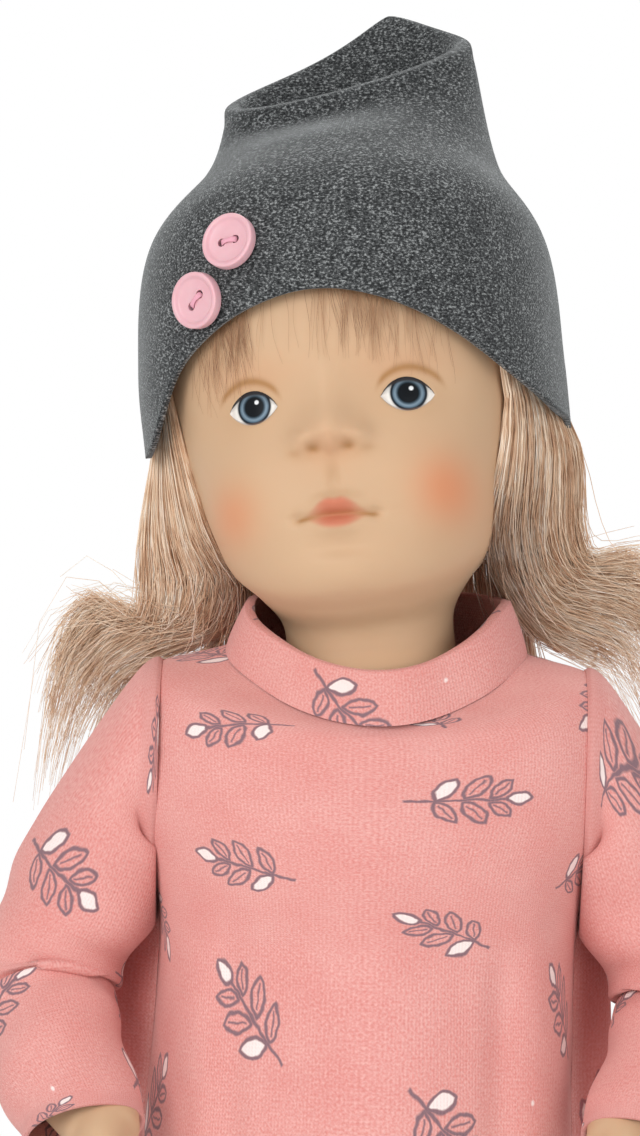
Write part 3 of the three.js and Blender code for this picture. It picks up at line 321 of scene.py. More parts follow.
def finish_piece(piece, material, slot, body, *nodes):
    """Gives a piece its material, the body that it rides on and the nodes that it stands for; slot is not used."""
    piece.data.materials.clear()
    piece.data.materials.append(material)
    if body:
        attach(piece, body)
    if nodes:
        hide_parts(*nodes)
    print(piece.name, len(piece.data.polygons), "faces", [round(x * 1000, 1) for x in piece.dimensions], "mm")


def xyz(x, y, z):
    """Points out of their coordinates."""
    return np.stack(np.broadcast_arrays(x, y, z), axis=1)


def unit(way):
    """A way, or each of several, made 1 long."""
    way = np.array(way, float)
    return way / np.linalg.norm(way, axis=-1, keepdims=True)


def around(u):
    """The angle of a column: once round, from the back over the doll's right, front and left."""
    return (u - 0.5) * 2 * np.pi


def rounded(wave, power):
    """A sine or cosine whose section has fuller or flatter corners."""
    return np.sign(wave) * np.abs(wave) ** power


def oval(angle, width, front, back, power):
    """A section's point: angle 0 is the front and a quarter turn is the doll's left."""
    x = width * rounded(np.sin(angle), 2 / power)
    y = (back - front) / 2 - (back + front) / 2 * rounded(np.cos(angle), 2 / power)
    return x, y


def spline(knots, share):
    """The point at a share of the way along a smooth curve through the knots, column by column."""
    last = len(knots) - 1
    part = np.clip(np.floor(share * last).astype(int), 0, last - 1)
    w = (share * last - part)[:, None]
    rows = np.concatenate([[2 * knots[0] - knots[1]], knots, [2 * knots[-1] - knots[-2]]])
    column = np.arange(len(share))
    p0, p1, p2, p3 = (rows[part + k, column] for k in range(4))
    d0, d1, d2 = (np.maximum(np.sum((b - a) ** 2, axis=1), 1e-8)[:, None] ** 0.25
                  for a, b in ((p0, p1), (p1, p2), (p2, p3)))
    t1 = d1 * ((p1 - p0) / d0 - (p2 - p0) / (d0 + d1) + (p2 - p1) / d1)
    t2 = d1 * ((p2 - p1) / d1 - (p3 - p1) / (d1 + d2) + (p3 - p2) / d2)
    return p1 + w * t1 + w**2 * (3 * (p2 - p1) - 2 * t1 - t2) + w**3 * (2 * (p1 - p2) + t1 + t2)


def for_all(knots, count):
    """The same knots for each of a count of columns."""
    return np.repeat(np.array(knots, float)[:, None], count, axis=1)


def smooth_table(rows, place):
    """Each column of a table, read at places along its first column with smooth slopes."""
    rows = np.array(rows, float)
    at = rows[:, 0]
    slopes = np.gradient(rows[:, 1:], at, axis=0)
    k = np.clip(np.searchsorted(at, place) - 1, 0, len(at) - 2)
    step = at[k + 1] - at[k]
    t = np.clip((place - at[k]) / step, 0, 1)[:, None]
    h = step[:, None]
    low, high = rows[k, 1:], rows[k + 1, 1:]
    return ((1 + 2 * t) * (1 - t) ** 2 * low + t * (1 - t) ** 2 * h * slopes[k]
            + t**2 * (3 - 2 * t) * high + t**2 * (t - 1) * h * slopes[k + 1]).T


def ease(low, high, value):
    """0 below low, 1 above high and a smooth change between."""
    t = np.clip((value - low) / (high - low), 0, 1)
    return t * t * (3 - 2 * t)


def hump(value, middle, spread):
    """A rise of height 1 at a value, fading over its spread."""
    return np.exp(-(((value - middle) / spread) ** 2))


def bump_at(x, z, middle, spread):
    """A round rise of height 1 at a place, fading over its spread."""
    return np.exp(-(((x - middle[0]) / spread[0]) ** 2) - ((z - middle[1]) / spread[1]) ** 2)


def bumps(x, z, table):
    """The sum of round rises, each with a height, a middle and a spread."""
    return sum(height * bump_at(x, z, middle, spread) for height, middle, spread in table)


# %% [markdown]
# ## Vinyl
# The doll is cast in soft vinyl with a matt skin, and its lips, cheeks and lid creases are sprayed and brushed
# on. Light goes a little way into vinyl, so a small amount of subsurface scatter keeps the shadows warm. The
# paint is a colour attribute: red is the lips, green is the blush, and blue is the lid creases and mouth line
# together with a painted shade by the nose and a soft brown tone round each eye.

# %% Vinyl material
vinyl, tree, shader = start_material("soft_vinyl_skin")
solid = solid_place(tree)
# The casting is faintly mottled at about 20 mm and its skin has a grain of about 0.4 mm.
mottle = noise(tree, solid, 1 / 0.02, 3.0)
skin = mix(tree, mottle, "#c9a482", "#ceac8a")
paint_layer = node(tree, "Attribute", {"attribute_name": "paint"})
paints = node(tree, "SeparateColor", None, {0: paint_layer.outputs["Color"]}).outputs
# The blue channel's golden brown is the creases and the mouth line, and also a painted shade by the nose.
for channel, colour in (("Green", "#dd8458"), ("Red", "#c76f55"), ("Blue", "#a0703c")):
    skin = mix(tree, paints[channel], skin, colour)
feed(tree, shader, {
    "Base Color": skin,
    "Normal": bump_map(tree, noise(tree, solid, 1 / 0.0004, 1.0), 0.06, 0.0001),
    "Roughness": ranged(tree, mottle, low=0.5, high=0.6),
    "IOR": 1.5,
    "Specular IOR Level": 0.22,
    "Subsurface Weight": 0.12,
    "Subsurface Radius": (1.0, 0.45, 0.3),
    "Subsurface Scale": 0.0025,
})
print("vinyl nodes", len(tree.nodes))

# %% [markdown]
# ## The head
# The head is one casting: neck, jaw, face and crown in a single skin. Sculpting it would work, but a table of
# rings is easier to change: each ring gives its rise at the front, side and back, its half width, and how far
# it reaches forwards and back. Small round rises and dips then shape the nose, lids, lips and cheeks.

# %% Head
NECK_SEAT = np.array((0.0, -2.0, 340.0))
HEAD_LEAN = math.radians(-6)
HEAD_TILT = np.array(
    Matrix.Rotation(HEAD_LEAN, 3, "Y")
    @ Matrix.Rotation(math.radians(-8), 3, "X")
    @ Matrix.Rotation(math.radians(-7), 3, "Z")
)
HEAD_POWER = 2.25
HEAD_RINGS = [
    (0.4, 0.4, 0.4, 0.02, 0.02, 0.02),
    (0.4, 0.4, 0.4, 19.0, 19.0, 19.0),
    (6.0, 7.5, 8.5, 18.7, 18.2, 19.4),
    (10.8, 15.0, 18.0, 19.0, 19.0, 20.0),
    (14.0, 20.8, 26.0, 22.8, 28.0, 22.5),
    (17.4, 27.0, 32.0, 28.4, 37.6, 30.0),
    (25.5, 35.0, 39.0, 31.9, 41.8, 37.5),
    (42.0, 45.0, 47.0, 35.2, 43.6, 44.0),
    (58.0, 58.0, 58.0, 39.0, 43.0, 50.0),
    (74.0, 74.0, 74.0, 41.5, 43.5, 52.5),
    (90.0, 90.0, 90.0, 39.5, 40.5, 50.0),
    (103.0, 103.0, 103.0, 31.0, 31.0, 41.0),
    (111.0, 111.0, 111.0, 19.5, 18.0, 28.0),
    (114.6, 114.6, 114.6, 8.0, 6.0, 15.0),
    (115.0, 115.0, 115.0, 0.02, -4.5, 4.52),
]
LAST_RING = len(HEAD_RINGS) - 1
EYE = (17.0, 58.6)
EYE_HALF = 5.5
NOSE_Z = 51.6
MOUTH_Z = 33.7
FACE_BUMPS = [
    # height, middle and spread, for both sides: nose, eye sockets, lips, lip groove, chin and cheeks
    (1.4, (0, 59.5), (4.5, 8)), (1.9, (6.6, 50.2), (2.8, 2.8)), (-1.2, (3.8, 48.4), (1.5, 1.1)),
    (1.2, (0, 48.6), (2.0, 1.6)),
    (-3.0, (17, 59.4), (10, 6.6)), (2.6, (17, 58.4), (6.2, 4.8)),
    (2.0, (0, 36.2), (5.6, 2.0)), (0.5, (2.2, 37.0), (2.0, 1.4)), (1.9, (0, 31.2), (5.0, 1.8)),
    (-1.0, (0, 33.7), (8.8, 0.8)), (-0.9, (8.6, 33.4), (1.6, 1.5)),
    (-0.7, (0, 42.0), (1.3, 3)), (2.3, (0, 21), (10, 5.5)), (-1.0, (0, 26.6), (7, 2.0)),
    (2.0, (21, 41), (10, 10)),
]


def from_head(points):
    """Head millimetres to the doll's."""
    return points @ HEAD_TILT.T + NECK_SEAT


def plain_head(angle, share):
    """The head without its face, at a share of the way through its rings."""
    rings = []
    c = np.cos(angle)
    for front, side, back, width, reach, rear in HEAD_RINGS:
        x, y = oval(angle, width, reach, rear, HEAD_POWER)
        z = side + (front - side) * np.maximum(c, 0) ** 1.5 + (back - side) * np.maximum(-c, 0) ** 1.5
        rings.append(xyz(x, y, z))
    return spline(np.array(rings), share)


def lid_height(x):
    """Upper and lower edge of the eye's almond at x from its middle."""
    rest = np.maximum(1 - (x / EYE_HALF) ** 2, 0)
    return 4.0 * rest**0.75, -3.35 * rest**0.85


def face_relief(x, z):
    """How far the face stands forward of the plain head."""
    side = np.abs(x)
    nose = 4.7 * bump_at(x, z, (0, NOSE_Z), (6.0, np.where(z < NOSE_Z, 3.0, 6.2)))
    across, up = side - EYE[0], z - EYE[1]
    upper, lower = lid_height(across)
    inside = ease(-0.5, 0.5, np.minimum(upper - up, up - lower)) * (np.abs(across) < EYE_HALF)
    return nose + bumps(side, z, FACE_BUMPS) - 0.45 * inside


def head_local(u, v):
    """The head in its own millimetres, with more columns in front and more rows on the face."""
    turn = around(u)
    angle = turn - 0.42 * np.sin(turn)
    share = np.interp(v, [0, 0.1, 0.86, 1], [0, 4 / LAST_RING, 9 / LAST_RING, 1])
    points = plain_head(angle, share)
    facing = ease(0.1, 0.5, np.cos(angle)) * ease(12, 18, points[:, 2])
    points[:, 1] -= face_relief(points[:, 0], points[:, 2]) * facing
    return points


def face_paint(u, v):
    """The paint of each point: lips, blush, and the creases, mouth line and painted shade by the nose."""
    x, y, z = head_local(u, v).T
    side = np.abs(x)
    half = np.maximum(1 - (x / 7.0) ** 2, 0)
    bow = 3.7 * half**1.3 * (1 - 0.12 * hump(x, 0, 1.2))
    lips = ease(-0.7, 0.6, MOUTH_Z + bow - z) * ease(-0.7, 0.6, z - MOUTH_Z + 2.8 * half**0.9)
    lips = lips * (0.25 + 0.6 * np.exp(-((x / 4.6) ** 4))) * (half > 0)
    blush = 0.12 * bump_at(side, z, (17, 66), (10, 4)) + bumps(x, z, [
        (0.65, (23.5, 38), (6.2, 7.6)), (0.5, (-24, 36), (6.5, 7)), (0.16, (0, 48), (6, 4))])
    across, up = side - EYE[0], z - EYE[1]
    crease = 1.0 + 5.2 * np.maximum(1 - ((across - 0.6) / 7.6) ** 2, 0) ** 0.7
    lid_line = 0.75 * hump(up, crease, 0.9) * ease(7.8, 5.5, np.abs(across - 0.6))
    mouth_line = (0.45 + 0.4 * ease(3.5, 7, side)) * ease(9.8, 7.8, side)
    mouth_line *= hump(z, MOUTH_Z + 0.2 - 0.8 * ease(2, 9, side), 0.55)
    # The lid creases and the mouth line are painted on the doll. The spots below add a painted shade in the
    # nostrils, down the philtrum and under and beside the nose, and a soft brown tone round each eye.
    lines_and_shade = lid_line + mouth_line + bumps(side, z, [
        (0.7, (3.8, 48.2), (1.4, 0.9)), (0.2, (0, 43), (1.4, 2.6)), (0.22, (8.1, 47.6), (1.6, 0.9)),
        (0.12, (5, 46.8), (5, 1.4)), (0.22, (17, 58.6), (7.2, 5))])
    shades = [np.clip(a * ease(0, 15, -y), 0, 1) for a in (lips, blush, lines_and_shade)]
    return np.stack([*shades, np.ones_like(x)], axis=1)


head = wrap_grid("head_vinyl", 330, 270, lambda u, v: from_head(head_local(u, v)), paint=face_paint)
finish_piece(head, vinyl, "vinyl", "head", "head")

# %% [markdown]
# ## The eyes
# The eyes are painted and lacquered. Each is a small almond grid, laid on the face with a Shrinkwrap
# modifier, and its UV map is in millimetres from the middle of the iris, so rings are plain distances. A
# second UV map runs from lid to lid, for the dark upper line.

# %% Eye material
# Lacquered paint: rings from the pupil to the white, with fine spokes about 0.3 mm apart at the iris's rim.
eye_paint, tree, shader = start_material("lacquered_eye_paint")
place = cloth_place(tree)
reach = vectors(tree, "LENGTH", place)
tint = ramp(tree, maths(tree, "DIVIDE", reach, 5.0), [
    (0.0, "#070b10"), (0.42, "#0b1117"), (0.47, "#33444f"), (0.57, "#7c909f"), (0.65, "#5d7180"),
    (0.7, "#18212a"), (0.76, "#262c32"), (0.8, "#cdc9c4"), (0.86, "#ebe6df"), (1.0, "#e0d8d0")])
axes = split(tree, place)
spin = maths(tree, "ARCTAN2", axes[1], axes[0])
spokes = node(tree, "TexNoise", {"noise_dimensions": "1D"}, {"W": spin, "Scale": 9.0, "Detail": 2.0})
streak = maths(tree, "MULTIPLY", spokes.outputs[0], ranged(tree, reach, 2.9, 2.0, high=0.5))
tint = mix(tree, streak, tint, "#4c6075", "MULTIPLY")
# The painted light of a window, up and to the right in both eyes.
glint = vectors(tree, "DISTANCE", place, (0.65, 1.0, 0))
tint = mix(tree, ranged(tree, glint, 0.6, 0.35), tint, "#f6f8fa")
# From lid to lid: the shade of the upper lid, its dark line and the faint lower line.
lids = split(tree, cloth_place(tree, "lid"))[1]
for start, end, most, colour, blend in [
    (0.55, 1.0, 0.55, "#6a625e", "MULTIPLY"), (0.86, 0.92, 0.95, "#2b2626", "MIX"),
    (0.07, 0.03, 0.5, "#8a6e60", "MIX"),
]:
    tint = mix(tree, ranged(tree, lids, start, end, high=most), tint, colour, blend)
feed(tree, shader, {"Base Color": tint, "Roughness": 0.4, "Specular IOR Level": 0.12})
print("eye nodes", len(tree.nodes))

# %% Eyes
IRIS_SHIFT = (0.25, 0.55)


def head_front(x, z):
    """The face at x and z, before its relief, from the head's own rings."""
    table = [(r[0], r[3], r[4], r[5]) for r in HEAD_RINGS[7:13]]
    width, reach, rear = smooth_table(table, z)
    s = np.clip(np.abs(x) / width, 0, 1) ** (HEAD_POWER / 2)
    return (rear - reach) / 2 - (rear + reach) / 2 * np.sqrt(np.maximum(1 - s * s, 0)) ** (2 / HEAD_POWER)


def almond(u, v):
    """A point of the eye, in millimetres across and up from its middle."""
    across = (u - 0.5) * 2 * EYE_HALF
    upper, lower = lid_height(across)
    return across, lower + (upper - lower) * v


for side, name in SIDES:

    def eye_place(u, v):
        across, up = almond(u, v)
        x, z = side * EYE[0] + across, EYE[1] + up
        return from_head(xyz(x, head_front(x, z) - face_relief(x, z) - 0.3, z))

    eye = wrap_grid("eye_" + name, 56, 40, eye_place, weld=False)
    apply_modifier(eye, "SHRINKWRAP", target=head, offset=0.05 * MM, wrap_mode="ABOVE_SURFACE")
    lid_map = eye.data.uv_layers.new(name="lid")
    iris_map = eye.data.uv_layers["UVMap"]
    spots = read_all(iris_map.data, "uv", 2)
    lid_map.data.foreach_set("uv", spots.ravel())
    iris_map.data.foreach_set("uv", (np.stack(almond(*spots.T), axis=1) - IRIS_SHIFT).ravel())
    finish_piece(eye, eye_paint, "vinyl", "head")

# %% [markdown]
# ## Jersey
# Hat, sweatshirt and leggings are cut from cotton jersey: columns of small V-shaped loops, 0.75 mm apart. Such a
# knit can be modelled loop by loop, but at this size a height pattern on the cloth's own UV map looks the same
# and stays light. It is a node group, so that each jersey can use it.

# %% Knit pattern
KNIT = 0.75
knit = bpy.data.node_groups.new("jersey_knit", "ShaderNodeTree")
knit.interface.new_socket("Vector", in_out="INPUT", socket_type="NodeSocketVector")
knit.interface.new_socket("Height", in_out="OUTPUT", socket_type="NodeSocketFloat")
cloth_in = knit.nodes.new("NodeGroupInput")
cloth_out = knit.nodes.new("NodeGroupOutput")
axes = split(knit, cloth_in.outputs[0])
wale = maths(knit, "PINGPONG", axes[0], KNIT / 2)
course = maths(knit, "PINGPONG", maths(knit, "MULTIPLY_ADD", wale, 0.9, axes[1]), KNIT * 0.4)
rib = maths(knit, "MULTIPLY", wale, 1.2 / KNIT)
knit.links.new(maths(knit, "MULTIPLY_ADD", course, 1.1 / KNIT, rib), cloth_out.inputs[0])
print("knit group nodes", len(knit.nodes))

# %% [markdown]
# The hat is grey melange: white and black fibres are blended before they are spun, so light and dark flecks
# lie along the yarn. Worn cotton has a nap, which catches light at the edges of a form: that is the sheen.

# %% Grey melange jersey
LOOP_TOP = 1.1
LOOP_RISE = 0.0003
FLECK = (1 / 0.0007, 1 / 0.0007, 1 / 0.00042)

melange, tree, shader = start_material("grey_melange_jersey")
cloth = cloth_place(tree)
loops = node(tree, "Group", {"node_tree": knit}, {0: cloth}).outputs[0]
fleck_place = node(tree, "Mapping", None, {0: solid_place(tree), "Scale": FLECK}).outputs[0]
fleck = noise(tree, fleck_place, 1.0, 3.0, 0.7)
fleck = maths(tree, "MULTIPLY_ADD", noise(tree, cloth, 1 / 9, 2.0), 0.06, fleck)
yarn = ramp(tree, fleck, [(0.38, "#18191a"), (0.48, "#343637"), (0.57, "#545657"), (0.68, "#a6a9a9")])
# Painted shade: the yarn is darker in the hollows between the knit's loops.
feed(tree, shader, {
    "Base Color": mix(tree, ranged(tree, loops, 0.0, LOOP_TOP, 0.3, 0.0), yarn, "#2c2d2e"),
    "Normal": bump_map(tree, loops, 0.55, LOOP_RISE),
    "Roughness": 0.9,
    "Specular IOR Level": 0.2,
    "Sheen Weight": 0.6,
    "Sheen Roughness": 0.3,
    "Sheen Tint": linear("#d8dcdc"),
})
print("melange nodes", len(tree.nodes))

# %% [markdown]
# ## The hat
# The hat is one sewn sack of jersey, pulled over the head from a slanting brim. Its closed top is soft and
# falls in on itself, which leaves a rim, a dark hollow and a point at the back. Each column of the grid is a
# smooth line from the brim over the rim and down into the hollow.

# %% Hat
BRIM_FRONT = (-46.4, 82.5)
BRIM_BACK = (55.0, 30.0)
HAT_DENT = 121.5
HAT_PEAK = 2.78
HAT_THICK = 1.3
# The hat sits a little askew: how far its brim is pulled up or down, by degrees round from the front.
ASKEW = [(-180, 0), (-140, 2), (-115, 5), (-100, 4), (-90, 0.5), (-82, -6), (-73, -11.3), (-64, -13.4),
         (-55, -11.4), (-47, -7.5), (-31, -3.6), (-16, -1.1), (0, 0.2), (11, -1.5), (22, -3.9), (34, -6.8),
         (52, -10), (65, -9.6), (80, -6.2), (90, -1), (105, 4), (130, 2), (180, 0)]


def brim_rise(y):
    """The height of the brim's slanting plane."""
    slope = (BRIM_BACK[1] - BRIM_FRONT[1]) / (BRIM_BACK[0] - BRIM_FRONT[0])
    return BRIM_FRONT[1] + (y - BRIM_FRONT[0]) * slope


def hat_knots(angle):
    """The points that a column of the hat passes through, from the brim to the hollow."""
    s, c = np.sin(angle), np.cos(angle)
    x, y = oval(angle, 47.5, -BRIM_FRONT[0], BRIM_BACK[0], HEAD_POWER)
    askew = smooth_table(ASKEW, np.degrees(angle))[0]
    brim = brim_rise(y)
    rows = [(x + 0.5, y, brim + askew)]
    for width, front, back, shift, rise in [
        (47.5, 46.8, 60, 0, brim + 16 - 6.5 * c + askew / 2),
        (44.6, 41.4, 58.5, 0.9, 97 + 10 * c),
        (33.6, 25, 44, 2.9, 114.5 + 5 * c),
    ]:
        x, y = oval(angle, width, front, back, HEAD_POWER)
        rows.append((x + shift, y, rise))
    from_peak = np.arctan2(np.sin(angle - HAT_PEAK), np.cos(angle - HAT_PEAK))
    rim = 139.5 + 4.4 * s - 5.8 * c + 7.6 * np.exp(-(np.abs(from_peak / 0.5) ** 1.4))
    for share, depth, rise in [
        (1.02, 1.1, rim - 5.5), (0.99, 1.02, rim - 1), (0.89, 0.86, rim - 0.6), (0.66, 0.5, HAT_DENT + 4),
        (0.28, 0.12, HAT_DENT), (0.0, 0.0, HAT_DENT - 0.4),
    ]:
        rows.append((4.0 + 28.4 * share * s, 8 - 14 * depth * c, rise))
    return np.array([xyz(*row) for row in rows])


def hat_place(u, v):
    return from_head(spline(hat_knots(around(u)), np.interp(v, [0, 0.62, 1], [0, 0.5, 1])))


hat = wrap_grid("hat_jersey", 210, 140, hat_place, size=(310, 118))
thicken(hat, HAT_THICK)
finish_piece(hat, melange, "hat_jersey", "head", "hat")

# %% [markdown]
# ## Buttons
# Two moulded plastic buttons with two holes each are sewn to the hat. A button starts as a cylinder. Its face is
# inset and pushed in to leave a raised rim, the edges are bevelled, and two thin cylinders cut the holes.

# %% Button plastic and thread
# Moulded plastic with a faint swirl of about 4 mm.
button_plastic, tree, shader = start_material("pink_button_plastic")
swirl = noise(tree, solid_place(tree), 1 / 0.004, 2.0)
feed(tree, shader, {
    "Base Color": mix(tree, swirl, "#dda5ae", "#e3b8be"),
    "Roughness": ranged(tree, swirl, low=0.28, high=0.42),
    "IOR": 1.5,
    "Subsurface Weight": 0.1,
    "Subsurface Scale": 0.001,
})

# Cotton thread, twisted from plies of about 0.5 mm.
thread, tree, shader = start_material("cotton_thread")
ply = node(tree, "TexWave", None, {"Vector": solid_place(tree), "Scale": 1 / 0.0005, "Distortion": 1.0})
feed(tree, shader, {"Base Color": mix(tree, ply.outputs[1], "#d995a6", "#eab0bf"), "Roughness": 0.8})
print("materials", button_plastic.name, thread.name)

# %% Buttons
BUTTON_R = 6.2
BUTTON_THICK = 2.4
HOLE_R = 0.95
HOLE_GAP = 3.4


def make_button(name):
    """A button lying at the origin with its face up."""
    bpy.ops.mesh.primitive_cylinder_add(vertices=64, radius=BUTTON_R * MM, depth=BUTTON_THICK * MM)
    button = bpy.context.object
    button.name = name
    select_faces(button, [face.normal.z > 0.9 for face in button.data.polygons])
    for thick, depth in ((0.9, 0.0), (0.6, -0.75), (1.6, -0.1)):
        bpy.ops.mesh.inset(thickness=thick * MM, depth=depth * MM)
    bpy.ops.object.mode_set(mode="OBJECT")
    apply_modifier(button, "BEVEL", width=0.35 * MM, segments=3, limit_method="ANGLE")
    for side, _ in SIDES[::-1]:
        bpy.ops.mesh.primitive_cylinder_add(
            vertices=24, radius=HOLE_R * MM, depth=9 * MM, location=(side * HOLE_GAP / 2 * MM, 0, 0))
        cut_away(button, bpy.context.object)
    bpy.ops.object.shade_smooth_by_angle(angle=math.radians(35))
    return button


def make_stitch(name):
    """Two turns of thread through the holes, over the middle of a button that lies at the origin."""
    bpy.ops.mesh.primitive_torus_add(
        major_segments=48, minor_segments=10, major_radius=HOLE_GAP / 2 * MM, minor_radius=0.3 * MM,
        rotation=(math.pi / 2, 0, 0))
    stitch = bpy.context.object
    stitch.name = name
    bpy.ops.object.transform_apply(location=True, rotation=True, scale=True)
    for point in stitch.data.vertices:
        point.co.z = point.co.z * 0.62 - 0.25 * MM
        point.co.y += 0.32 * MM * math.copysign(1, point.co.y) * (0.4 + abs(point.co.x) / (2 * MM))
    bpy.ops.object.shade_smooth()
    return stitch


STEP = 0.01
BUTTON_LIFT = 1.6
for which, angle, share, turn in (("upper", -0.348, 0.357, 0.1), ("lower", -0.54, 0.18, 0.7)):
    angles = np.array([angle, angle + STEP, angle])
    shares = np.array([share, share, share + STEP]) * 0.45
    spot, along, above = from_head(spline(hat_knots(angles)[:9], shares))
    outward = Vector(np.cross(along - spot, above - spot)).normalized()
    centre = (Vector(spot + STANCE) + outward * BUTTON_LIFT) * MM
    side = Vector(above - spot).normalized().cross(outward).normalized()
    facing = Matrix((side, outward.cross(side), outward)).transposed().to_4x4() @ Matrix.Rotation(turn, 4, "Z")
    button = make_button("button_" + which)
    stitch = make_stitch("stitch_" + which)
    for piece in (button, stitch):
        piece.data.transform(Matrix.Translation(centre) @ facing)
    finish_piece(button, button_plastic, "button_plastic", "head", "hat_button_" + which)
    finish_piece(stitch, thread, "thread", "head", "button_thread_" + which)

# %% [markdown]
# ## Printed jersey
# The sweatshirt is coral pink with a scattered print: leafy sprigs about 20 mm long, drawn in a soft grey line
# with some leaves left white, and tiny white dots between. Each sprig is built from leaf shapes, and a leaf is
# where two circles overlap, so its edge is one distance. Sprigs repeat in a half-drop, each turned its own way.

# %% Printed jersey
PRINT_CELL = (38.0, 36.0)
INK_HALF = 0.34
INK_BLUR = 0.16
DOT_GAP = 21
LEAVES = [
    # middle x and y, turn in degrees, length, width, 1 where the leaf is white
    (-4.2, 3.0, 55, 6.6, 3.2, 1), (-4.4, -3.0, -55, 6.2, 3.0, 0), (1.4, 3.2, 48, 7.0, 3.4, 0),
    (1.0, -3.2, -48, 6.8, 3.3, 0), (6.2, 2.5, 40, 5.8, 2.8, 0), (6.0, -2.5, -40, 5.6, 2.7, 0),
    (10.0, 0.0, 0, 5.6, 2.9, 1),
]


def sprig_place(tree, shifted):
    """Where a point of the cloth lies on its own sprig, which is turned by chance."""
    wobble = node(tree, "TexNoise", None, {"Vector": shifted, "Scale": 0.4, "Detail": 1.0}).outputs["Color"]
    flat = split(tree, vectors(tree, "MULTIPLY_ADD", wobble, (1.2, 1.2, 0), shifted))
    column = maths(tree, "DIVIDE", flat[0], PRINT_CELL[0])
    column_id = maths(tree, "FLOOR", column)
    drop = maths(tree, "PINGPONG", column_id, 1.0)
    row = maths(tree, "DIVIDE", maths(tree, "MULTIPLY_ADD", drop, PRINT_CELL[1] / 2, flat[1]), PRINT_CELL[1])
    cell_id = node(tree, "CombineXYZ", None, {0: column_id, 1: maths(tree, "FLOOR", row)}).outputs[0]
    chance = node(tree, "TexWhiteNoise", {"noise_dimensions": "2D"}, {"Vector": cell_id}).outputs["Value"]
    cell = node(tree, "CombineXYZ", None, {0: column, 1: row}).outputs[0]
    centred = vectors(tree, "SUBTRACT", vectors(tree, "SUBTRACT", cell, cell_id), (0.5, 0.5, 0))
    sized = vectors(tree, "MULTIPLY", centred, (*PRINT_CELL, 0))
    spin = maths(tree, "MULTIPLY", chance, 2 * math.pi)
    turned = node(tree, "VectorRotate", {"rotation_type": "Z_AXIS"}, {"Vector": sized, "Angle": spin})
    return turned.outputs[0]


def bar(tree, axes, half):
    """How far a point lies from a straight bar of a half length, sideways or past its end."""
    return maths(tree, "MAXIMUM", maths(tree, "SUBTRACT", axes[0], half), axes[1])


def printed_jersey(name, offset):
    """Coral jersey with the sprig print shifted by an offset in millimetres."""
    made, tree, shader = start_material(name)
    cloth = cloth_place(tree)
    loops = node(tree, "Group", {"node_tree": knit}, {0: cloth}).outputs[0]
    shifted = vectors(tree, "ADD", cloth, (*offset, 0))
    sprig = sprig_place(tree, shifted)
    # The stem is a thin line about 19 mm long.
    stem = vectors(tree, "ABSOLUTE", vectors(tree, "ADD", sprig, (1.5, 0, 0)))
    nearest = bar(tree, split(tree, stem), 9.0)
    white_edges = []
    for x, y, turn, length, width, white in LEAVES:
        radius = (length**2 / (2 * width) + width / 2) / 2
        leaf = node(tree, "Mapping", {"vector_type": "TEXTURE"},
                    {0: sprig, "Location": (x, y, 0), "Rotation": (0, 0, math.radians(turn))})
        leaf = vectors(tree, "ABSOLUTE", leaf.outputs[0])
        edge = maths(tree, "SUBTRACT", vectors(tree, "DISTANCE", leaf, (0, width / 2 - radius, 0)), radius)
        nearest = maths(tree, "MINIMUM", nearest, maths(tree, "ABSOLUTE", edge))
        if white:
            white_edges.append(edge)
        else:
            vein = maths(tree, "ADD", bar(tree, split(tree, leaf), length * 0.3), 0.14)
            nearest = maths(tree, "MINIMUM", nearest, vein)
    ink = ranged(tree, nearest, INK_HALF + INK_BLUR, INK_HALF - INK_BLUR)
    fill = ranged(tree, maths(tree, "MINIMUM", *white_edges), -0.1, -0.4, high=0.85)
    dots = node(tree, "TexVoronoi", None, {"Vector": shifted, "Scale": 1 / DOT_GAP, "Randomness": 0.75})
    dot = ranged(tree, dots.outputs["Distance"], 0.75 / DOT_GAP, 0.4 / DOT_GAP, high=0.85)
    # Cotton dyed in the piece: a little lighter and darker from patch to patch and from loop to loop.
    patch = maths(tree, "MULTIPLY_ADD", noise(tree, cloth, 1 / 14, 3.0), 0.35, noise(tree, cloth, 1 / 0.5, 2.0))
    coral = mix(tree, ranged(tree, patch, 0.47, 0.88), "#de8e87", "#edb5ae")
    # Painted shade: the coral is darker in the hollows between the knit's loops.
    deep = ranged(tree, loops, 0.0, LOOP_TOP, 0.35, 0.0)
    # Painted shade: behind the arms, where the shade attribute is high, the coral is darkened towards deep red.
    shade = node(tree, "Attribute", {"attribute_name": "shade"}).outputs["Fac"]
    shade = maths(tree, "MULTIPLY", shade, 0.4)
    for mask, colour in (
        (deep, "#cd7a75"), (fill, "#fbeeea"), (dot, "#fbeeea"), (ink, "#896b72"), (shade, "#b8403a")
    ):
        coral = mix(tree, mask, coral, colour)
    feed(tree, shader, {
        "Base Color": coral,
        "Normal": bump_map(tree, loops, 0.5, LOOP_RISE),
        "Roughness": 0.88,
        "Specular IOR Level": 0.2,
        "Sheen Weight": 0.25,
        "Sheen Roughness": 0.45,
        "Sheen Tint": linear("#ffe3dd"),
    })
    print(name, "nodes", len(tree.nodes))
    return made


body_jersey = printed_jersey("coral_printed_jersey_body", (9, 7))
sleeve_jersey = printed_jersey("coral_printed_jersey_sleeve", (21, 30))
band_jersey = printed_jersey("coral_printed_jersey_band", (3, 15))

# %% [markdown]
# ## The sweatshirt
# The sweatshirt is sewn from a front, two backs that lap, two sleeves and a neckband. Front and backs are parts
# of one flared form: a table of ovals from the hem to the shoulders and the neckline. Each panel is a grid over
# its share of the way round, cut straight at the armholes with bisect, and given the thickness of jersey.

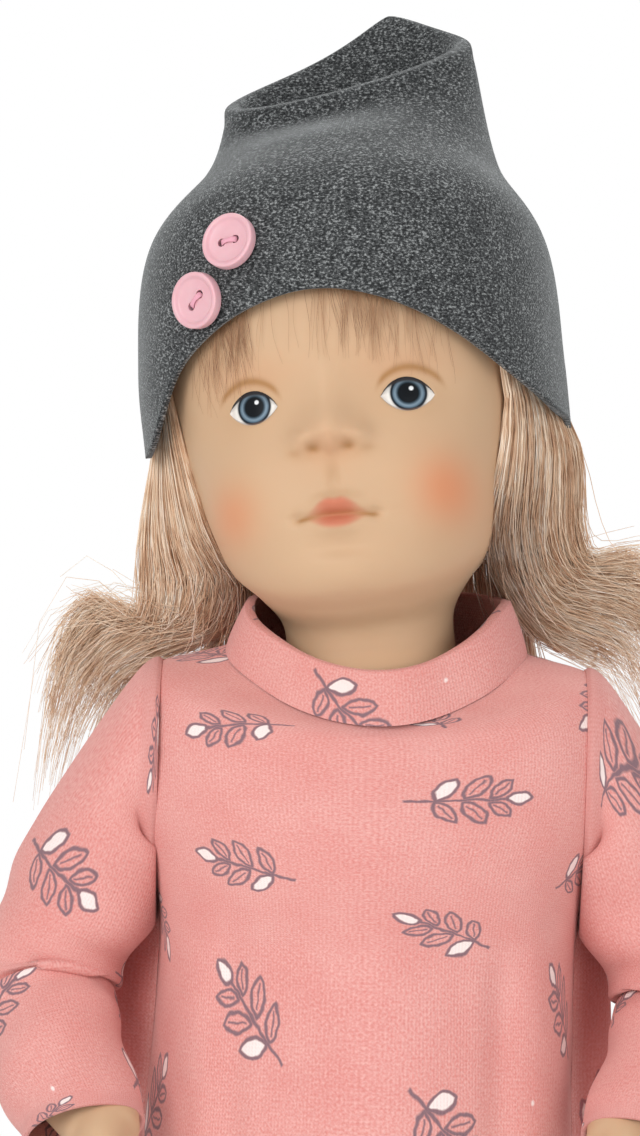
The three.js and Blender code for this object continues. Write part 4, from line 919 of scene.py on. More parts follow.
# %% Sweatshirt panels
ARMHOLE_X = 47.0
ARMHOLE_Z = 317.0
ARMPIT_Z = 281.0
SEAM_ANGLE = math.pi / 2 + 0.03
LAP = 0.14
LAP_DEPTH = 1.7
SHIRT_THICK = 1.1
SEAM_LAP = 0.8
FLARE_LEFT, FLARE_RIGHT = 10.5, 13
TRUNK_POWER = 2.3
NECK_FRONT, NECK_SIDE, NECK_BACK = 333.0, 348.0, 349.0
SHIRT_ROWS = [
    # height, half width, reach to the front and to the back
    (231, 47, 40, 42), (258, 46, 38.5, 39.2), (284, 45.8, 36.5, 37.6), (298, 48.2, 35.2, 37.4), (316, 55, 33, 36.8),
]


def neckline_rise(angle):
    """The height of the neckline, low in front."""
    c = np.cos(angle)
    front = NECK_SIDE - (NECK_SIDE - NECK_FRONT) * np.maximum(c, 0) ** 1.6
    return front + (NECK_BACK - NECK_SIDE) * np.maximum(-c, 0)


def shirt_point(angle, share):
    """The body of the sweatshirt, from the hem to the neckline, with its folds."""
    rows = [xyz(*oval(angle, *sizes, TRUNK_POWER), z) for z, *sizes in SHIRT_ROWS]
    rows.append(xyz(*oval(angle, 53, 30.5, 34.8, TRUNK_POWER), 330 + 10 * np.sin(angle) ** 2))
    rows.append(xyz(*oval(angle, 32, 29, 31, 2), neckline_rise(angle)))
    points = spline(np.array(rows), share)
    flow = 1 + (1.1 / 45) * (1 - share) ** 2 * (1 + np.sin(7 * angle + 6 * share))
    points[:, :2] *= flow[:, None]
    # Soft drag lines from the armpits and shallow waves across the chest.
    x, y, z = points.T.copy()
    side = np.abs(x)
    wave = 0.5 * np.sin(z / 6.5 + 2.2 * angle) * ease(15, 42, side) + 0.35 * np.sin(x / 9 + z / 23 + 1.3)
    points[:, 1] += wave * np.sign(y) * ease(0.02, 0.15, share) * ease(1.0, 0.8, share)
    # Below the chest, pleats beside the arms.
    pleat = np.cos((side - 38) * 2 * np.pi / 19) * ease(22, 30, side) * ease(45, 41, side)
    points[:, 1] -= 1.9 * pleat * ease(293, 272, z) * np.cos(angle)
    return points


def cut_sides(piece, x, above):
    """Cuts away what lies beyond x on both sides, above a height, in millimetres."""
    select_only(piece)
    for side, _ in SIDES:
        high = read_all(piece.data.vertices, "co", 3)[:, 2] > above * MM
        for group in (piece.data.edges, piece.data.polygons):
            group.foreach_set("select", [bool(high[list(item.vertices)].all()) for item in group])
        piece.data.vertices.foreach_set("select", high)
        bpy.ops.object.mode_set(mode="EDIT")
        bpy.ops.mesh.bisect(plane_co=(side * x * MM, 0, 0), plane_no=(side, 0, 0), clear_outer=True)
        bpy.ops.object.mode_set(mode="OBJECT")


def flare(piece):
    """Behind the arms the back stands away from the body; a point attribute named shade marks where a painted shade
    darkens the coral to deep red.
    """
    points = read_all(piece.data.vertices, "co", 3) / MM - STANCE
    x, y, z = points.T
    out = ease(1.5, 15, y) * ease(37, 26, y) * ease(298, 280, z) * ease(10, 35, np.abs(x))
    points[:, 0] += np.where(x > 0, FLARE_LEFT, FLARE_RIGHT) * out * np.sign(x)
    piece.data.vertices.foreach_set("co", ((points + STANCE) * MM).ravel())
    piece.data.attributes.new("shade", "FLOAT", "POINT").data.foreach_set("value", ease(0.0, 0.3, out))


for name, start, end, across, node_name, flat, cut in [
    ("sweatshirt_front", -SEAM_ANGLE, SEAM_ANGLE, 160, "shirt_front", (0.141, 0.119), 0.0147),
    ("sweatshirt_back_left", SEAM_ANGLE, math.pi + LAP, 96, "shirt_back_left", (0.095, 0.119), 0.0096),
    ("sweatshirt_back_right", math.pi - LAP, 2 * math.pi - SEAM_ANGLE, 96, "shirt_back_right",
     (0.095, 0.119), 0.0096),
]:

    def panel_place(u, v):
        angle = start + (end - start) * u
        points = shirt_point(angle, v)
        past = angle - math.pi
        under = ease(LAP + 0.05, LAP - 0.02, past) * (name == "sweatshirt_back_right")
        points[:, 1] -= LAP_DEPTH * under * ease(LAP + 0.02, LAP - 0.05, np.abs(past))
        return points

    panel = wrap_grid(name, across, 140, panel_place, size=((end - start) * 44, 122), weld=False)
    cut_sides(panel, ARMHOLE_X + SEAM_LAP, ARMPIT_Z + 2)
    flare(panel)
    thicken(panel, SHIRT_THICK)
    finish_piece(panel, body_jersey, "shirt_jersey", "torso", node_name)

# %% [markdown]
# The neckband is a strip of jersey folded double, so its top edge is a soft roll. Its section is a narrow
# upside-down U that goes once round the neckline and leans in towards the neck.

# %% Neckband
NECKBAND_TALL = 12.1


def fold_over(v, roll, high, thick):
    """A strip folded along its middle: how far up a point lies, and how far out of the fold's middle."""
    climb = np.interp(np.abs(v - 0.5), [0, roll, 0.5], [1, high, 0])
    return climb, thick * np.sin(np.clip((v - 0.5) / roll, -1, 1) * np.pi / 2)


def band_place(u, v):
    angle = around(u)
    ripple = 0.35 * np.sin(5 * angle + 0.7) + 0.25 * np.sin(9 * angle)
    climb, thick = fold_over(v, 0.06, 0.97, 1.15)
    outset = ripple - thick - 4.2 * climb**1.3
    x, y = oval(angle, 32.4 + outset, 29.4 + outset, 31.4 + outset, 2)
    tall = NECKBAND_TALL - 2.2 * hump(angle, -1.3, 0.7)  # pressed down where the chin can turn
    return xyz(x, y, neckline_rise(angle) - 0.6 + tall * climb)


band = wrap_grid("neckband_jersey", 220, 60, band_place, size=(195, 26))
finish_piece(band, band_jersey, "shirt_jersey", "torso", "neckband")

# %% [markdown]
# A sleeve starts in the plane of the armhole, rolls over the shoulder and follows the bent arm. Its rings are a
# table too: a middle, the way the sleeve runs there, and a half width each way. Folds gather inside the elbow,
# where the cloth is pressed together.

# %% Sleeves
BALL = np.array((53.0, 0.0, 316.0))
ELBOW = np.array((73.60, 0.0, 265.00))
WRIST = np.array((57.0, -31.5, 244.0))
UPPER_RUN = unit(ELBOW - BALL)
FORE_RUN = unit(WRIST - ELBOW)
SLEEVE_RINGS = [
    # middle, run, half width to the front, half height
    (BALL + UPPER_RUN * 8, (0.5, 0, -0.87), 20.0, 15.5), (BALL + UPPER_RUN * 22, UPPER_RUN, 17.5, 17.4),
    (BALL + UPPER_RUN * 34 + (1.0, 0, 0), UPPER_RUN, 17.0, 16.2),
    (BALL + UPPER_RUN * 46 + (1.2, 0, 0), (0.15, -0.25, -0.95), 17.2, 15.8),
    ((71.8, -3, 266), (-0.25, -0.6, -0.76), 17.0, 16.2), ((69, -11.5, 259.5), (-0.3, -0.72, -0.62), 16.0, 15.6),
    ((66, -19.5, 252.5), (-0.3, -0.65, -0.7), 15.4, 15.0), ((61.6, -27, 244.8), (-0.22, -0.5, -0.84), 14.2, 13.8),
    ((60.9, -28.6, 242), (-0.22, -0.5, -0.84), 14.0, 13.6),
]


def armhole_reach(turn):
    """How far the cut edge of the body lies from the middle of the armhole, all the way round."""
    angle = np.repeat(np.linspace(0.4, np.pi - 0.4, 240), 300)
    share = np.tile(np.linspace(0.25, 0.98, 300), 240)
    points = shirt_point(angle, share)
    edge = points[np.abs(points[:, 0] - ARMHOLE_X) < 0.35]
    way = np.arctan2(-edge[:, 1], edge[:, 2] - ARMHOLE_Z)
    reach = np.hypot(edge[:, 1], edge[:, 2] - ARMHOLE_Z)
    bins = np.linspace(-np.pi, np.pi, 73)
    which = np.digitize(way, bins) - 1
    middle = np.array([reach[which == k].mean() for k in range(72)])
    return np.interp(turn, (bins[:-1] + bins[1:]) / 2, middle, period=2 * np.pi)


def sleeve_place(u, v):
    turn = around(u)
    s, c = np.sin(turn), np.cos(turn)
    reach = armhole_reach(turn) + 0.2
    rows = []
    for out, more in ((0.1, 0.0), (1.2, 0.5), (4.0, -1.0)):
        rows.append(xyz(ARMHOLE_X + out, -s * (reach + more), ARMHOLE_Z + c * (reach + more)))
    for middle, run, half, tall in SLEEVE_RINGS:
        run = unit(run)
        across = unit(np.array((0, 1.0, 0)) - run[1] * run)
        rows.append(np.array(middle) + np.outer(c * tall, np.cross(run, across)) - np.outer(s * half, across))
    points = spline(np.array(rows), v)
    spine = [(ARMHOLE_X, 0, ARMHOLE_Z)] * 3 + [ring[0] for ring in SLEEVE_RINGS]
    outward = unit(points - spline(for_all(spine, len(u)), v))
    fold = 0.8 * np.sin(v * 62 + 1.2 * s) * ease(-0.2, 0.9, s * 0.8 - c * 0.6) * hump(v, 0.58, 0.13)
    for height, at, spread in ((-2.4, 0.615, 0.016), (1.3, 0.575, 0.025), (0.9, 0.66, 0.025)):
        fold += height * ease(-0.2, 0.6, 0.9 * s - 0.3 * c) * hump(v, at, spread)
    fold += 0.6 * np.sin(v * 38 + 2 * turn) * ease(0.3, 0.45, v) * ease(0.98, 0.85, v)
    points += outward * fold[:, None]
    shoulder = points[:, 2] > ARMPIT_Z
    points[shoulder, 0] = np.maximum(points[shoulder, 0], ARMHOLE_X + 0.1)
    return points


for side, name in SIDES:
    sleeve = wrap_grid("sweatshirt_sleeve_" + name, 120, 150, mirrored(sleeve_place, side), size=(108, 112))
    thicken(sleeve, SHIRT_THICK)
    finish_piece(sleeve, sleeve_jersey, "shirt_jersey", "arm_" + name, "sleeve_" + name)

# %% [markdown]
# ## Arms and hands
# Each arm is one hollow casting from the flange in the shoulder to the fingertips, with a bend at the elbow. It
# is built as a sculptor's armature would be: a tube for the arm, a flat one for the palm and thin ones for the
# fingers. A voxel Remesh melts them into one skin and Smooth takes the creases out between them.

# %% Tubes that melt together
CAP = 0.08


def tube_place(path, halves, side=(1, 0, 0)):
    """Where a grid's points go to make a round-ended tube along a path; halves are its half sizes on the way."""

    def place(u, v):
        turn = 2 * np.pi * u
        share = np.interp(v, [0, CAP, 1 - CAP, 1], [0, 0, 1, 1])
        way = for_all(path, len(u))
        run = unit(spline(way, np.clip(share + 0.01, 0, 1)) - spline(way, np.clip(share - 0.01, 0, 1)))
        across = unit(side - run * (run @ side)[:, None])
        size = spline(for_all(halves, len(u)), share)
        bend = np.clip(np.minimum(v, 1 - v) / CAP, 0, 1) * np.pi / 2
        bulge = np.where(v < 0.5, -1, 1) * np.cos(bend) * size.min(axis=1)
        ring = across * (size[:, 0] * np.cos(turn))[:, None]
        ring = ring + np.cross(run, across) * (size[:, 1] * np.sin(turn))[:, None]
        return spline(way, share) + run * bulge[:, None] + ring * np.sin(bend)[:, None]

    return place


def plug_place(seat, out, hole, reach):
    """A limb's flange behind the wall of its hole, and its stem through the hole and into the limb."""
    rim, stem = hole + 2.8, hole - 0.4
    profile = np.array([(-5.4, 0), (-5.4, rim), (-3, rim), (-3, stem), (reach, stem), (reach, 0)])
    over = np.array((0, 1.0, 0))
    across = np.cross(over, out)

    def place(u, v):
        depth, radius = (np.interp(v * 5, np.arange(6), column)[:, None] for column in profile.T)
        turn = (2 * np.pi * u)[:, None]
        return seat + out * depth + radius * (np.cos(turn) * over + np.sin(turn) * across)

    return place


def melt(name, pieces, voxel, rounds):
    """One smooth skin out of overlapping closed pieces; the voxel is in millimetres."""
    select_only(pieces[0])
    for piece in pieces:
        piece.select_set(True)
    bpy.ops.object.join()
    pieces[0].name = name
    apply_modifier(pieces[0], "REMESH", mode="VOXEL", voxel_size=voxel * MM)
    apply_modifier(pieces[0], "SMOOTH", factor=0.5, iterations=rounds)
    bpy.ops.object.shade_smooth()
    return pieces[0]


# %% Arms
HAND = 27
SHOULDER = np.array((41.0, 0, 316))
X_WAY = np.array((1.0, 0, 0))
HAND_RUN = unit((-0.06, -0.62, -0.78))
HAND_ACROSS = unit(np.cross(HAND_RUN, X_WAY))
PALM_END = WRIST + HAND_RUN * HAND * 0.5
arm_places = [
    tube_place([BALL, BALL + (ELBOW - BALL) * 0.45, BALL + (ELBOW - BALL) * 0.85,
                ELBOW + (WRIST - ELBOW) * 0.28, WRIST],
               [(11.6, 11.6), (10.2, 10.2), (11, 11), (11, 11), (8.6, 8.6)]),
    tube_place([WRIST - FORE_RUN * 4, WRIST, (WRIST + PALM_END) / 2, PALM_END],
               [(8.0, 8.0), (7.6, 8.2), (6.0, 9.6), (4.6, 9.0)]),
    tube_place([BALL - X_WAY * 0.1, BALL + X_WAY * 0.1], [(12.2, 12.2), (12.2, 12.2)], (0, 0, 1)),
]
for step in (-1.5, -0.5, 0.5, 1.5):
    root = PALM_END + HAND_ACROSS * step * 4.3 - HAND_RUN * 3
    reach = HAND * (0.56 - 0.05 * abs(step))
    arm_places.append(tube_place(
        [root, root + HAND_RUN * reach * 0.55 - X_WAY * 0.4, root + HAND_RUN * (reach - 1.6) - X_WAY * 1.9],
        [(2.6, 2.5), (2.4, 2.35), (1.8, 1.8)]))
thumb_root = WRIST + HAND_RUN * 4 - HAND_ACROSS * 6
thumb_tip = thumb_root + HAND_RUN * 8.6 - HAND_ACROSS * 4.4
arm_places.append(tube_place([thumb_root, (thumb_root + thumb_tip) / 2 - HAND_ACROSS * 1.1, thumb_tip],
                             [(3.3, 3.3), (2.9, 2.9), (2.0, 2.0)]))
for side, name in SIDES:
    parts = [wrap_grid("arm_tube", 32, 40, mirrored(place, side)) for place in arm_places]
    parts.append(wrap_grid("arm_plug", 48, 50, mirrored(plug_place(SHOULDER, X_WAY, 9, 8), side)))
    arm = melt("arm_vinyl_" + name, parts, 0.7, 4)
    finish_piece(arm, vinyl, "vinyl", "arm_" + name, "arm_" + name)

# %% [markdown]
# ## Legs
# A leg is one casting too, from the slanting hip to the foot. Its sections come from a table. Where it turns
# against the body it is cut flat with bisect, which also fills the cut, and its flange reaches through that plane.

# %% Legs
HIP = np.array((15.0, 0, 203.0))
HIP_OUT = np.array((math.cos(math.radians(30)), 0, -math.sin(math.radians(30))))
LEG_RINGS = [
    # height, middle, half width, reach to the front and to the back
    (12, 21, 10.5, 11, 12.5), (26, 21, 11.5, 12, 13.5), (44, 21, 11, 10.5, 12.5), (78, 21.5, 15, 13, 18),
    (108, 22, 15.5, 16, 14), (150, 23, 19.5, 19, 20), (185, 24, 22, 21.5, 24), (206, 25, 20, 20, 23),
    (218, 26.5, 13, 14, 16), (222, 27, 5, 6, 6),
]
LEG_LOW, LEG_HIGH = 12, 222
FOOT_X, TOP_X = 21, 27
FOOT_RINGS = [
    # share of the way from heel to toe, half width, height
    (0, 4, 9), (0.08, 9, 15), (0.3, 10, 23), (0.55, 10.75, 16), (0.78, 11.5, 11.5), (0.94, 9, 9), (1, 4, 6),
]
FOOT_POWER = 0.8
FOOT_END = 0.03
HEEL_AT, FOOT_LONG = 20, 60
SOLE = 5
FOOT_Z = SOLE + 0.3


def leg_point(angle, z, outset):
    """The skin of a leg at a height, or what lies an outset away from it."""
    middle, width, front, back = smooth_table(LEG_RINGS, z)
    x, y = oval(angle, width + outset, front + outset, back + outset, 2.1)
    return xyz(x + middle, y, z)


def leg_place(u, v):
    z = np.interp(v, [0, 0.02, 0.96, 1], [LEG_LOW, LEG_LOW, LEG_HIGH, LEG_HIGH])
    points = leg_point(u * 2 * np.pi, z, 0)
    closing = np.minimum(1, np.minimum(v / 0.02, (1 - v) / 0.04))[:, None]
    middle = np.where((v < 0.5)[:, None], (FOOT_X, 0), (TOP_X, 0))
    points[:, :2] = middle + (points[:, :2] - middle) * closing
    points[:, 0] = np.maximum(points[:, 0], 1.4)
    return points


def foot_section(angle, share, outset, closing=1.0):
    """Across and up on a foot, at a share of the way from heel to toe."""
    half, height = smooth_table(FOOT_RINGS, share)
    x = FOOT_X + (half + outset) * rounded(np.sin(angle), FOOT_POWER) * closing
    return x, FOOT_Z + (height + outset) / 2 * (1 - rounded(np.cos(angle), FOOT_POWER) * closing)


def foot_place(outset):
    """Where a grid's points go to make a foot, or a shell an outset away from it."""

    def place(u, v):
        share = np.clip((v - FOOT_END) / (1 - 2 * FOOT_END), 0, 1)
        closing = np.clip(np.minimum(v, 1 - v) / FOOT_END, 0, 1) ** 0.5
        x, z = foot_section(u * 2 * np.pi, share, outset, closing)
        return xyz(x, HEEL_AT + outset - share * (FOOT_LONG + 2 * outset), z)

    return place


def cut_along(piece, point, normal, fill=False):
    """Removes what lies beyond a plane through a point, along its normal, and with fill closes the cut."""
    select_only(piece)
    bpy.ops.object.mode_set(mode="EDIT")
    bpy.ops.mesh.select_all(action="SELECT")
    spot = Vector((np.array(point) + STANCE) * MM)
    bpy.ops.mesh.bisect(plane_co=spot, plane_no=Vector(normal).normalized(), clear_outer=True, use_fill=fill)
    bpy.ops.object.mode_set(mode="OBJECT")


def cut_at_hip(piece, side, gap):
    """Cuts a leg's piece flat at the hip, a gap away from the body, and fills the cut."""
    mirror = np.array((side, 1, 1))
    cut_along(piece, (HIP + HIP_OUT * gap) * mirror, -HIP_OUT * mirror, fill=True)


for side, name in SIDES:
    parts = [wrap_grid("leg_part", 72, 150, mirrored(leg_place, side)),
             wrap_grid("foot_part", 64, 72, mirrored(foot_place(0), side)),
             wrap_grid("leg_plug", 48, 50, mirrored(plug_place(HIP, HIP_OUT, 10, 6), side))]
    cut_at_hip(parts[0], side, 0.4)
    leg = melt("leg_vinyl_" + name, parts, 1.17, 6)
    finish_piece(leg, vinyl, "vinyl", "leg_" + name, "leg_" + name)

# %% [markdown]
# ## Leggings
# The leggings are grey melange like the hat: a seat with a waistband and two tubes. The seat follows the body's
# own sections with room for the cloth. A Boolean takes out the wedges where the legs turn, so that the cloth goes
# on over the hips and shows when a leg is lifted. The tubes follow the legs and wrinkle at the knee and the ankle.

# %% Leggings
TORSO_RINGS = [
    # height, half width, reach to the front and to the back
    (177, 8, 9, 12), (184, 28, 20, 27), (200, 40, 29, 35), (225, 42, 34, 34), (250, 40.5, 34, 30.5),
    (280, 41.5, 32, 31),
]
HIP_LEDGE_Z = 228
SEAT_LOW, SEAT_TOP = 177, 256.8
LEGGING_LOW = 36
LEGGINGS_THICK = 0.9


def trunk_oval(angle, z, outset):
    """A section of the trunk, with an outset."""
    width, front, back = smooth_table(TORSO_RINGS, z)
    return oval(angle, width + outset, front + outset, back + outset, TRUNK_POWER)


def seat_place(u, v):
    z = np.interp(v, [0, 0.06, 0.97, 1], [175.8, SEAT_LOW, SEAT_TOP, SEAT_TOP])
    x, y = trunk_oval(around(u), np.maximum(z, SEAT_LOW), 1.5)
    closing = np.clip(np.minimum(v / 0.06, (1 - v) / 0.03), 0, 1)
    return xyz(x * closing, 1 + (y - 1) * closing, z)


def map_flat(piece, normal):
    """Lays the UV map out in millimetres on the faces that look along a normal."""
    across = np.array((0, 1.0, 0))
    up = np.cross(normal, across)
    corners = piece.data.uv_layers[0].data
    for face in piece.data.polygons:
        if abs(face.normal @ Vector(normal)) > 0.99:
            for k in face.loop_indices:
                spot = np.array(piece.data.vertices[piece.data.loops[k].vertex_index].co) / MM
                corners[k].uv = (spot @ across, spot @ up)


seat = wrap_grid("leggings_seat_jersey", 150, 110, seat_place, size=(270, 92))
for side, _ in SIDES:
    bpy.ops.mesh.primitive_cube_add(size=2)
    wedge = bpy.context.object
    for corner in wedge.data.vertices:
        z = HIP_LEDGE_Z if corner.co.z > 0 else 160
        x = 110 if corner.co.x > 0 else HIP[0] + (0.12 - (z - HIP[2]) * HIP_OUT[2]) / HIP_OUT[0]
        corner.co = Vector((side * x, 70 * corner.co.y + STANCE[1], z)) * MM
    bpy.ops.object.mode_set(mode="EDIT")
    bpy.ops.mesh.normals_make_consistent(inside=False)
    bpy.ops.object.mode_set(mode="OBJECT")
    cut_away(seat, wedge)
    map_flat(seat, HIP_OUT * (side, 1, 1))
select_faces(seat, read_all(seat.data.polygons, "center", 3)[:, 2] / MM > SEAT_TOP - 0.1)
bpy.ops.mesh.delete(type="FACE")
bpy.ops.object.mode_set(mode="OBJECT")
thicken(seat, LEGGINGS_THICK)
finish_piece(seat, melange, "leggings_jersey", "torso", "leggings_seat")


def waistband_place(u, v):
    angle = around(u)
    climb, thick = fold_over(v, 0.1, 0.96, 0.75)
    z = 257 + 9 * climb
    return xyz(*trunk_oval(angle, z, 1.55 - thick + 0.25 * np.sin(42 * angle)), z)


waistband = wrap_grid("leggings_waistband_jersey", 240, 40, waistband_place, size=(260, 20))
finish_piece(waistband, melange, "leggings_jersey", "torso", "leggings_waistband")


def legging_place(u, v):
    angle = u * 2 * np.pi
    z = np.interp(v, [0, 0.97, 1], [LEGGING_LOW, LEG_HIGH, LEG_HIGH + 1.2])
    at_ankle = (0.6 + 0.4 * np.sin(3 * angle)) * ease(64, 46, z) * ease(38, 43, z)
    at_knee = hump(z, 106, 11) * ease(0.3, -0.8, np.cos(angle))
    wrinkle = 0.5 * np.sin(z / 1.5 + 1.5 * np.sin(angle)) * at_ankle
    wrinkle += 0.45 * np.sin(z / 1.9 + np.sin(2 * angle)) * at_knee - 0.3 * hump(z, 41.5, 0.5)
    low = np.minimum(z, LEG_HIGH)
    points = leg_point(angle, low, 1.4)
    points[:, :2] += unit(points[:, :2] - xyz(smooth_table(LEG_RINGS, low)[0], 0, 0)[:, :2]) * wrinkle[:, None]
    points[:, 2] = z
    closing = np.clip((1 - v) / 0.03, 0, 1)[:, None]
    points[:, :2] = (TOP_X, 0) * (1 - closing) + points[:, :2] * closing
    points[:, 0] = np.maximum(points[:, 0], 0.5)
    return points


for side, name in SIDES:
    tube = wrap_grid("leggings_leg_jersey_" + name, 90, 190, mirrored(legging_place, side), size=(112, 190))
    cut_at_hip(tube, side, 0.28)
    map_flat(tube, HIP_OUT * (side, 1, 1))
    thicken(tube, LEGGINGS_THICK)
    finish_piece(tube, melange, "leggings_jersey", "leg_" + name, "leggings_leg_" + name)

# %% [markdown]
# ## Shoes
# The shoes are soft grey leather on a flat rubber sole: an upper that is open over the instep, a strap and a small
# button. The upper is a shell round the foot. A Boolean with a rounded block cuts its mouth.

# %% Leather and rubber
# Leather with a pebbled grain about 0.7 mm wide, paler on the high spots where it is rubbed.
leather, tree, shader = start_material("soft_grey_leather")
solid = solid_place(tree)
pebble = node(tree, "TexVoronoi", None, {"Vector": solid, "Scale": 1 / 0.0007}).outputs["Distance"]
crease = noise(tree, solid, 1 / 0.006, 3.0)
hide = mix(tree, crease, "#7d7876", "#9c9694")
feed(tree, shader, {
    "Base Color": mix(tree, ranged(tree, pebble, 0.0, 0.6, 0.25, 0.0), hide, "#c4bebb"),
    "Normal": bump_map(tree, pebble, 0.35, 0.0002, invert=True),
    "Roughness": ranged(tree, crease, low=0.42, high=0.6),
})

# Crepe rubber, scuffed in patches of about 3 mm.
rubber, tree, shader = start_material("pale_sole_rubber")
scuff = noise(tree, solid_place(tree), 1 / 0.003, 4.0)
feed(tree, shader, {
    "Base Color": mix(tree, scuff, "#c9beb0", "#e2d9cd"),
    "Normal": bump_map(tree, scuff, 0.3, 0.0002),
    "Roughness": 0.75,
})
print("materials", leather.name, rubber.name)

# %% Shoes
SOLE_HALF = 14.3
TOE_Y, HEEL_Y = -41.8, 21.8
STRAP_Y = -17.2
STRAP_WIDE, STRAP_START = 7, 1.72
SHELL = 2.1
LEATHER_THICK = 1.7


def bezier(corners, t):
    """A point on the curve that its corners pull on, at t from 0 to 1."""
    last = len(corners) - 1
    weights = [math.comb(last, k) * (1 - t) ** (last - k) * t**k for k in range(last + 1)]
    return sum(np.outer(w, np.array(c, float)) for w, c in zip(weights, corners))


def sole_outline(u):
    """Once round the sole, from the toe's tip over the doll's left to the heel and home."""
    h = SOLE_HALF
    left = [
        [(0, TOE_Y), (h * 0.9, TOE_Y), (h, TOE_Y + h)],
        [(h, TOE_Y + h), (h * 1.05, TOE_Y + 2.4 * h), (h * 0.74, HEEL_Y - 2 * h), (h * 0.8, HEEL_Y - h)],
        [(h * 0.8, HEEL_Y - h), (h * 0.82, HEEL_Y), (0, HEEL_Y)],
    ]
    near = np.minimum(u, 1 - u) * 6
    points = np.zeros((len(u), 2))
    for k, corners in enumerate(left):
        here = (np.floor(np.clip(near, 0, 2.9999)) == k)
        points[here] = bezier(corners, near[here] - k)
    points[:, 0] *= np.where(u > 0.5, -1, 1)
    return points


def sole_place(u, v):
    middle = np.array((0, -10.0))
    rows = [0, 0.22, 0.3, 0.78, 0.82, 1]
    rise = np.interp(v, rows, [0, 0, 0.9, 4.6, SOLE, SOLE])
    shrink = np.interp(v, rows, [0, 0.955, 1, 1, 0.975, 0])
    shrink = shrink - 0.012 * (np.sin(v * 120) > 0) * (v > 0.32) * (v < 0.74)
    x, y = (middle + (sole_outline(u) - middle) * shrink[:, None]).T
    return xyz(x + FOOT_X, y, rise)


def strap_place(u, v):
    y = STRAP_Y + (u - 0.5) * STRAP_WIDE
    angle = STRAP_START + 2 * (np.pi - STRAP_START) * v
    outset = 2.4 + 0.8 * ease(2.1, 1.8, np.minimum(angle, 2 * np.pi - angle))
    x, z = foot_section(angle, (HEEL_AT + SHELL - y) / (FOOT_LONG + 2 * SHELL), outset)
    return xyz(x, y, z)


for side, name in SIDES:
    leg = "leg_" + name
    sole = wrap_grid("shoe_sole_rubber_" + name, 144, 64, mirrored(sole_place, side))
    finish_piece(sole, rubber, "sole_rubber", leg, "shoe_sole_" + name)

    upper = wrap_grid("shoe_upper_leather_" + name, 96, 96, mirrored(foot_place(SHELL), side))
    cut_along(upper, (0, 0, SOLE), (0, 0, -1))
    thicken(upper, LEATHER_THICK)
    bpy.ops.mesh.primitive_cube_add(size=1)
    mouth = bpy.context.object
    mouth.scale = (60 * MM, 60 * MM, 30 * MM)
    mouth.location = Vector((side * FOOT_X, 12 + STANCE[1], 33)) * MM
    bpy.ops.object.transform_apply(location=True, rotation=True, scale=True)
    apply_modifier(mouth, "BEVEL", width=9 * MM, segments=8, limit_method="NONE")
    cut_away(upper, mouth)
    bpy.ops.object.shade_smooth_by_angle(angle=math.radians(40))
    finish_piece(upper, leather, "shoe_leather", leg, "shoe_upper_" + name)

    strap = wrap_grid("shoe_strap_leather_" + name, 12, 48, mirrored(strap_place, side), weld=False)
    thicken(strap, 1.5, offset=1)
    apply_modifier(strap, "BEVEL", width=0.3 * MM, segments=2, limit_method="ANGLE")
    finish_piece(strap, leather, "shoe_leather", leg, "shoe_strap_" + name)

    button = make_button("shoe_button_" + name)
    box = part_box("shoe_button_" + name)
    centre = (Vector(box[0]) + Vector(box[1])) / 2
    button.data.transform(Matrix.Translation(centre) @ Matrix.Diagonal((0.55, 0.55, 0.9, 1)))
    finish_piece(button, button_plastic, "button_plastic", leg, "shoe_button_" + name)

# %% [markdown]
# ## What stays hidden
# Under the hat the hair is sewn to a knitted net. Between the two backs of the sweatshirt lie the two sides of the
# closing tape: tiny hooks on one and loops on the other. The body under the clothes keeps its solid, in vinyl.

# %% Wig net and closing tape
# Knitted netting with meshes of about 2 mm, with a painted shade that darkens the holes between the threads.
net, tree, shader = start_material("wig_net")
meshes = node(tree, "TexVoronoi", {"feature": "DISTANCE_TO_EDGE"},
              {"Vector": solid_place(tree), "Scale": 1 / 0.0022})
edge = ranged(tree, meshes.outputs[0], 0.04, 0.16)
feed(tree, shader, {
    "Base Color": mix(tree, edge, "#6a503c", "#5a4331"),
    "Normal": bump_map(tree, edge, 0.6, 0.0004, invert=True),
    "Roughness": 0.85,
})


def net_place(u, v):
    points = plain_head(around(u), (6 + 8 * v) / LAST_RING)
    middle = np.array((0, 4.0, 66.0))
    return from_head(middle + (points - middle) * 1.062)


wig_net = wrap_grid("wig_net_cap", 110, 80, net_place)
brim_normal = np.array((0, -(BRIM_BACK[1] - BRIM_FRONT[1]), BRIM_BACK[0] - BRIM_FRONT[0]))
cut_along(wig_net, from_head(np.array((0, 0, brim_rise(0) + 7.0))), -(HEAD_TILT @ brim_normal))
thicken(wig_net, 0.8)
finish_piece(wig_net, net, "wig_net", "head", "wig_cap")

# Woven tape with a nap of hooks or loops, about 0.6 mm apart.
tape, tree, shader = start_material("hook_and_loop_tape")
nap = noise(tree, solid_place(tree), 1 / 0.0006, 2.0)
feed(tree, shader, {
    "Base Color": mix(tree, nap, "#d5cfca", "#f1ece8"),
    "Normal": bump_map(tree, nap, 0.8, 0.0004),
    "Roughness": 0.95,
})
for name in ("closure_hook_tape", "closure_loop_tape", "torso"):
    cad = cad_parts[name]
    cad.data.materials.clear()
    cad.data.materials.append(vinyl if name == "torso" else tape)

# %% [markdown]
# ## Hair
# The wig is fine straight fibre, ash blonde over brown, which falls from under the hat, rests on the shoulders and
# flips outwards. Each strand is a thin curve with a round bevel that tapers to its tip, turned into a mesh at the
# end. A lock is a ribbon between an inner and an outer edge: its strands are spread over it at random, with a
# fixed seed, and drawn together in tufts towards their tips.

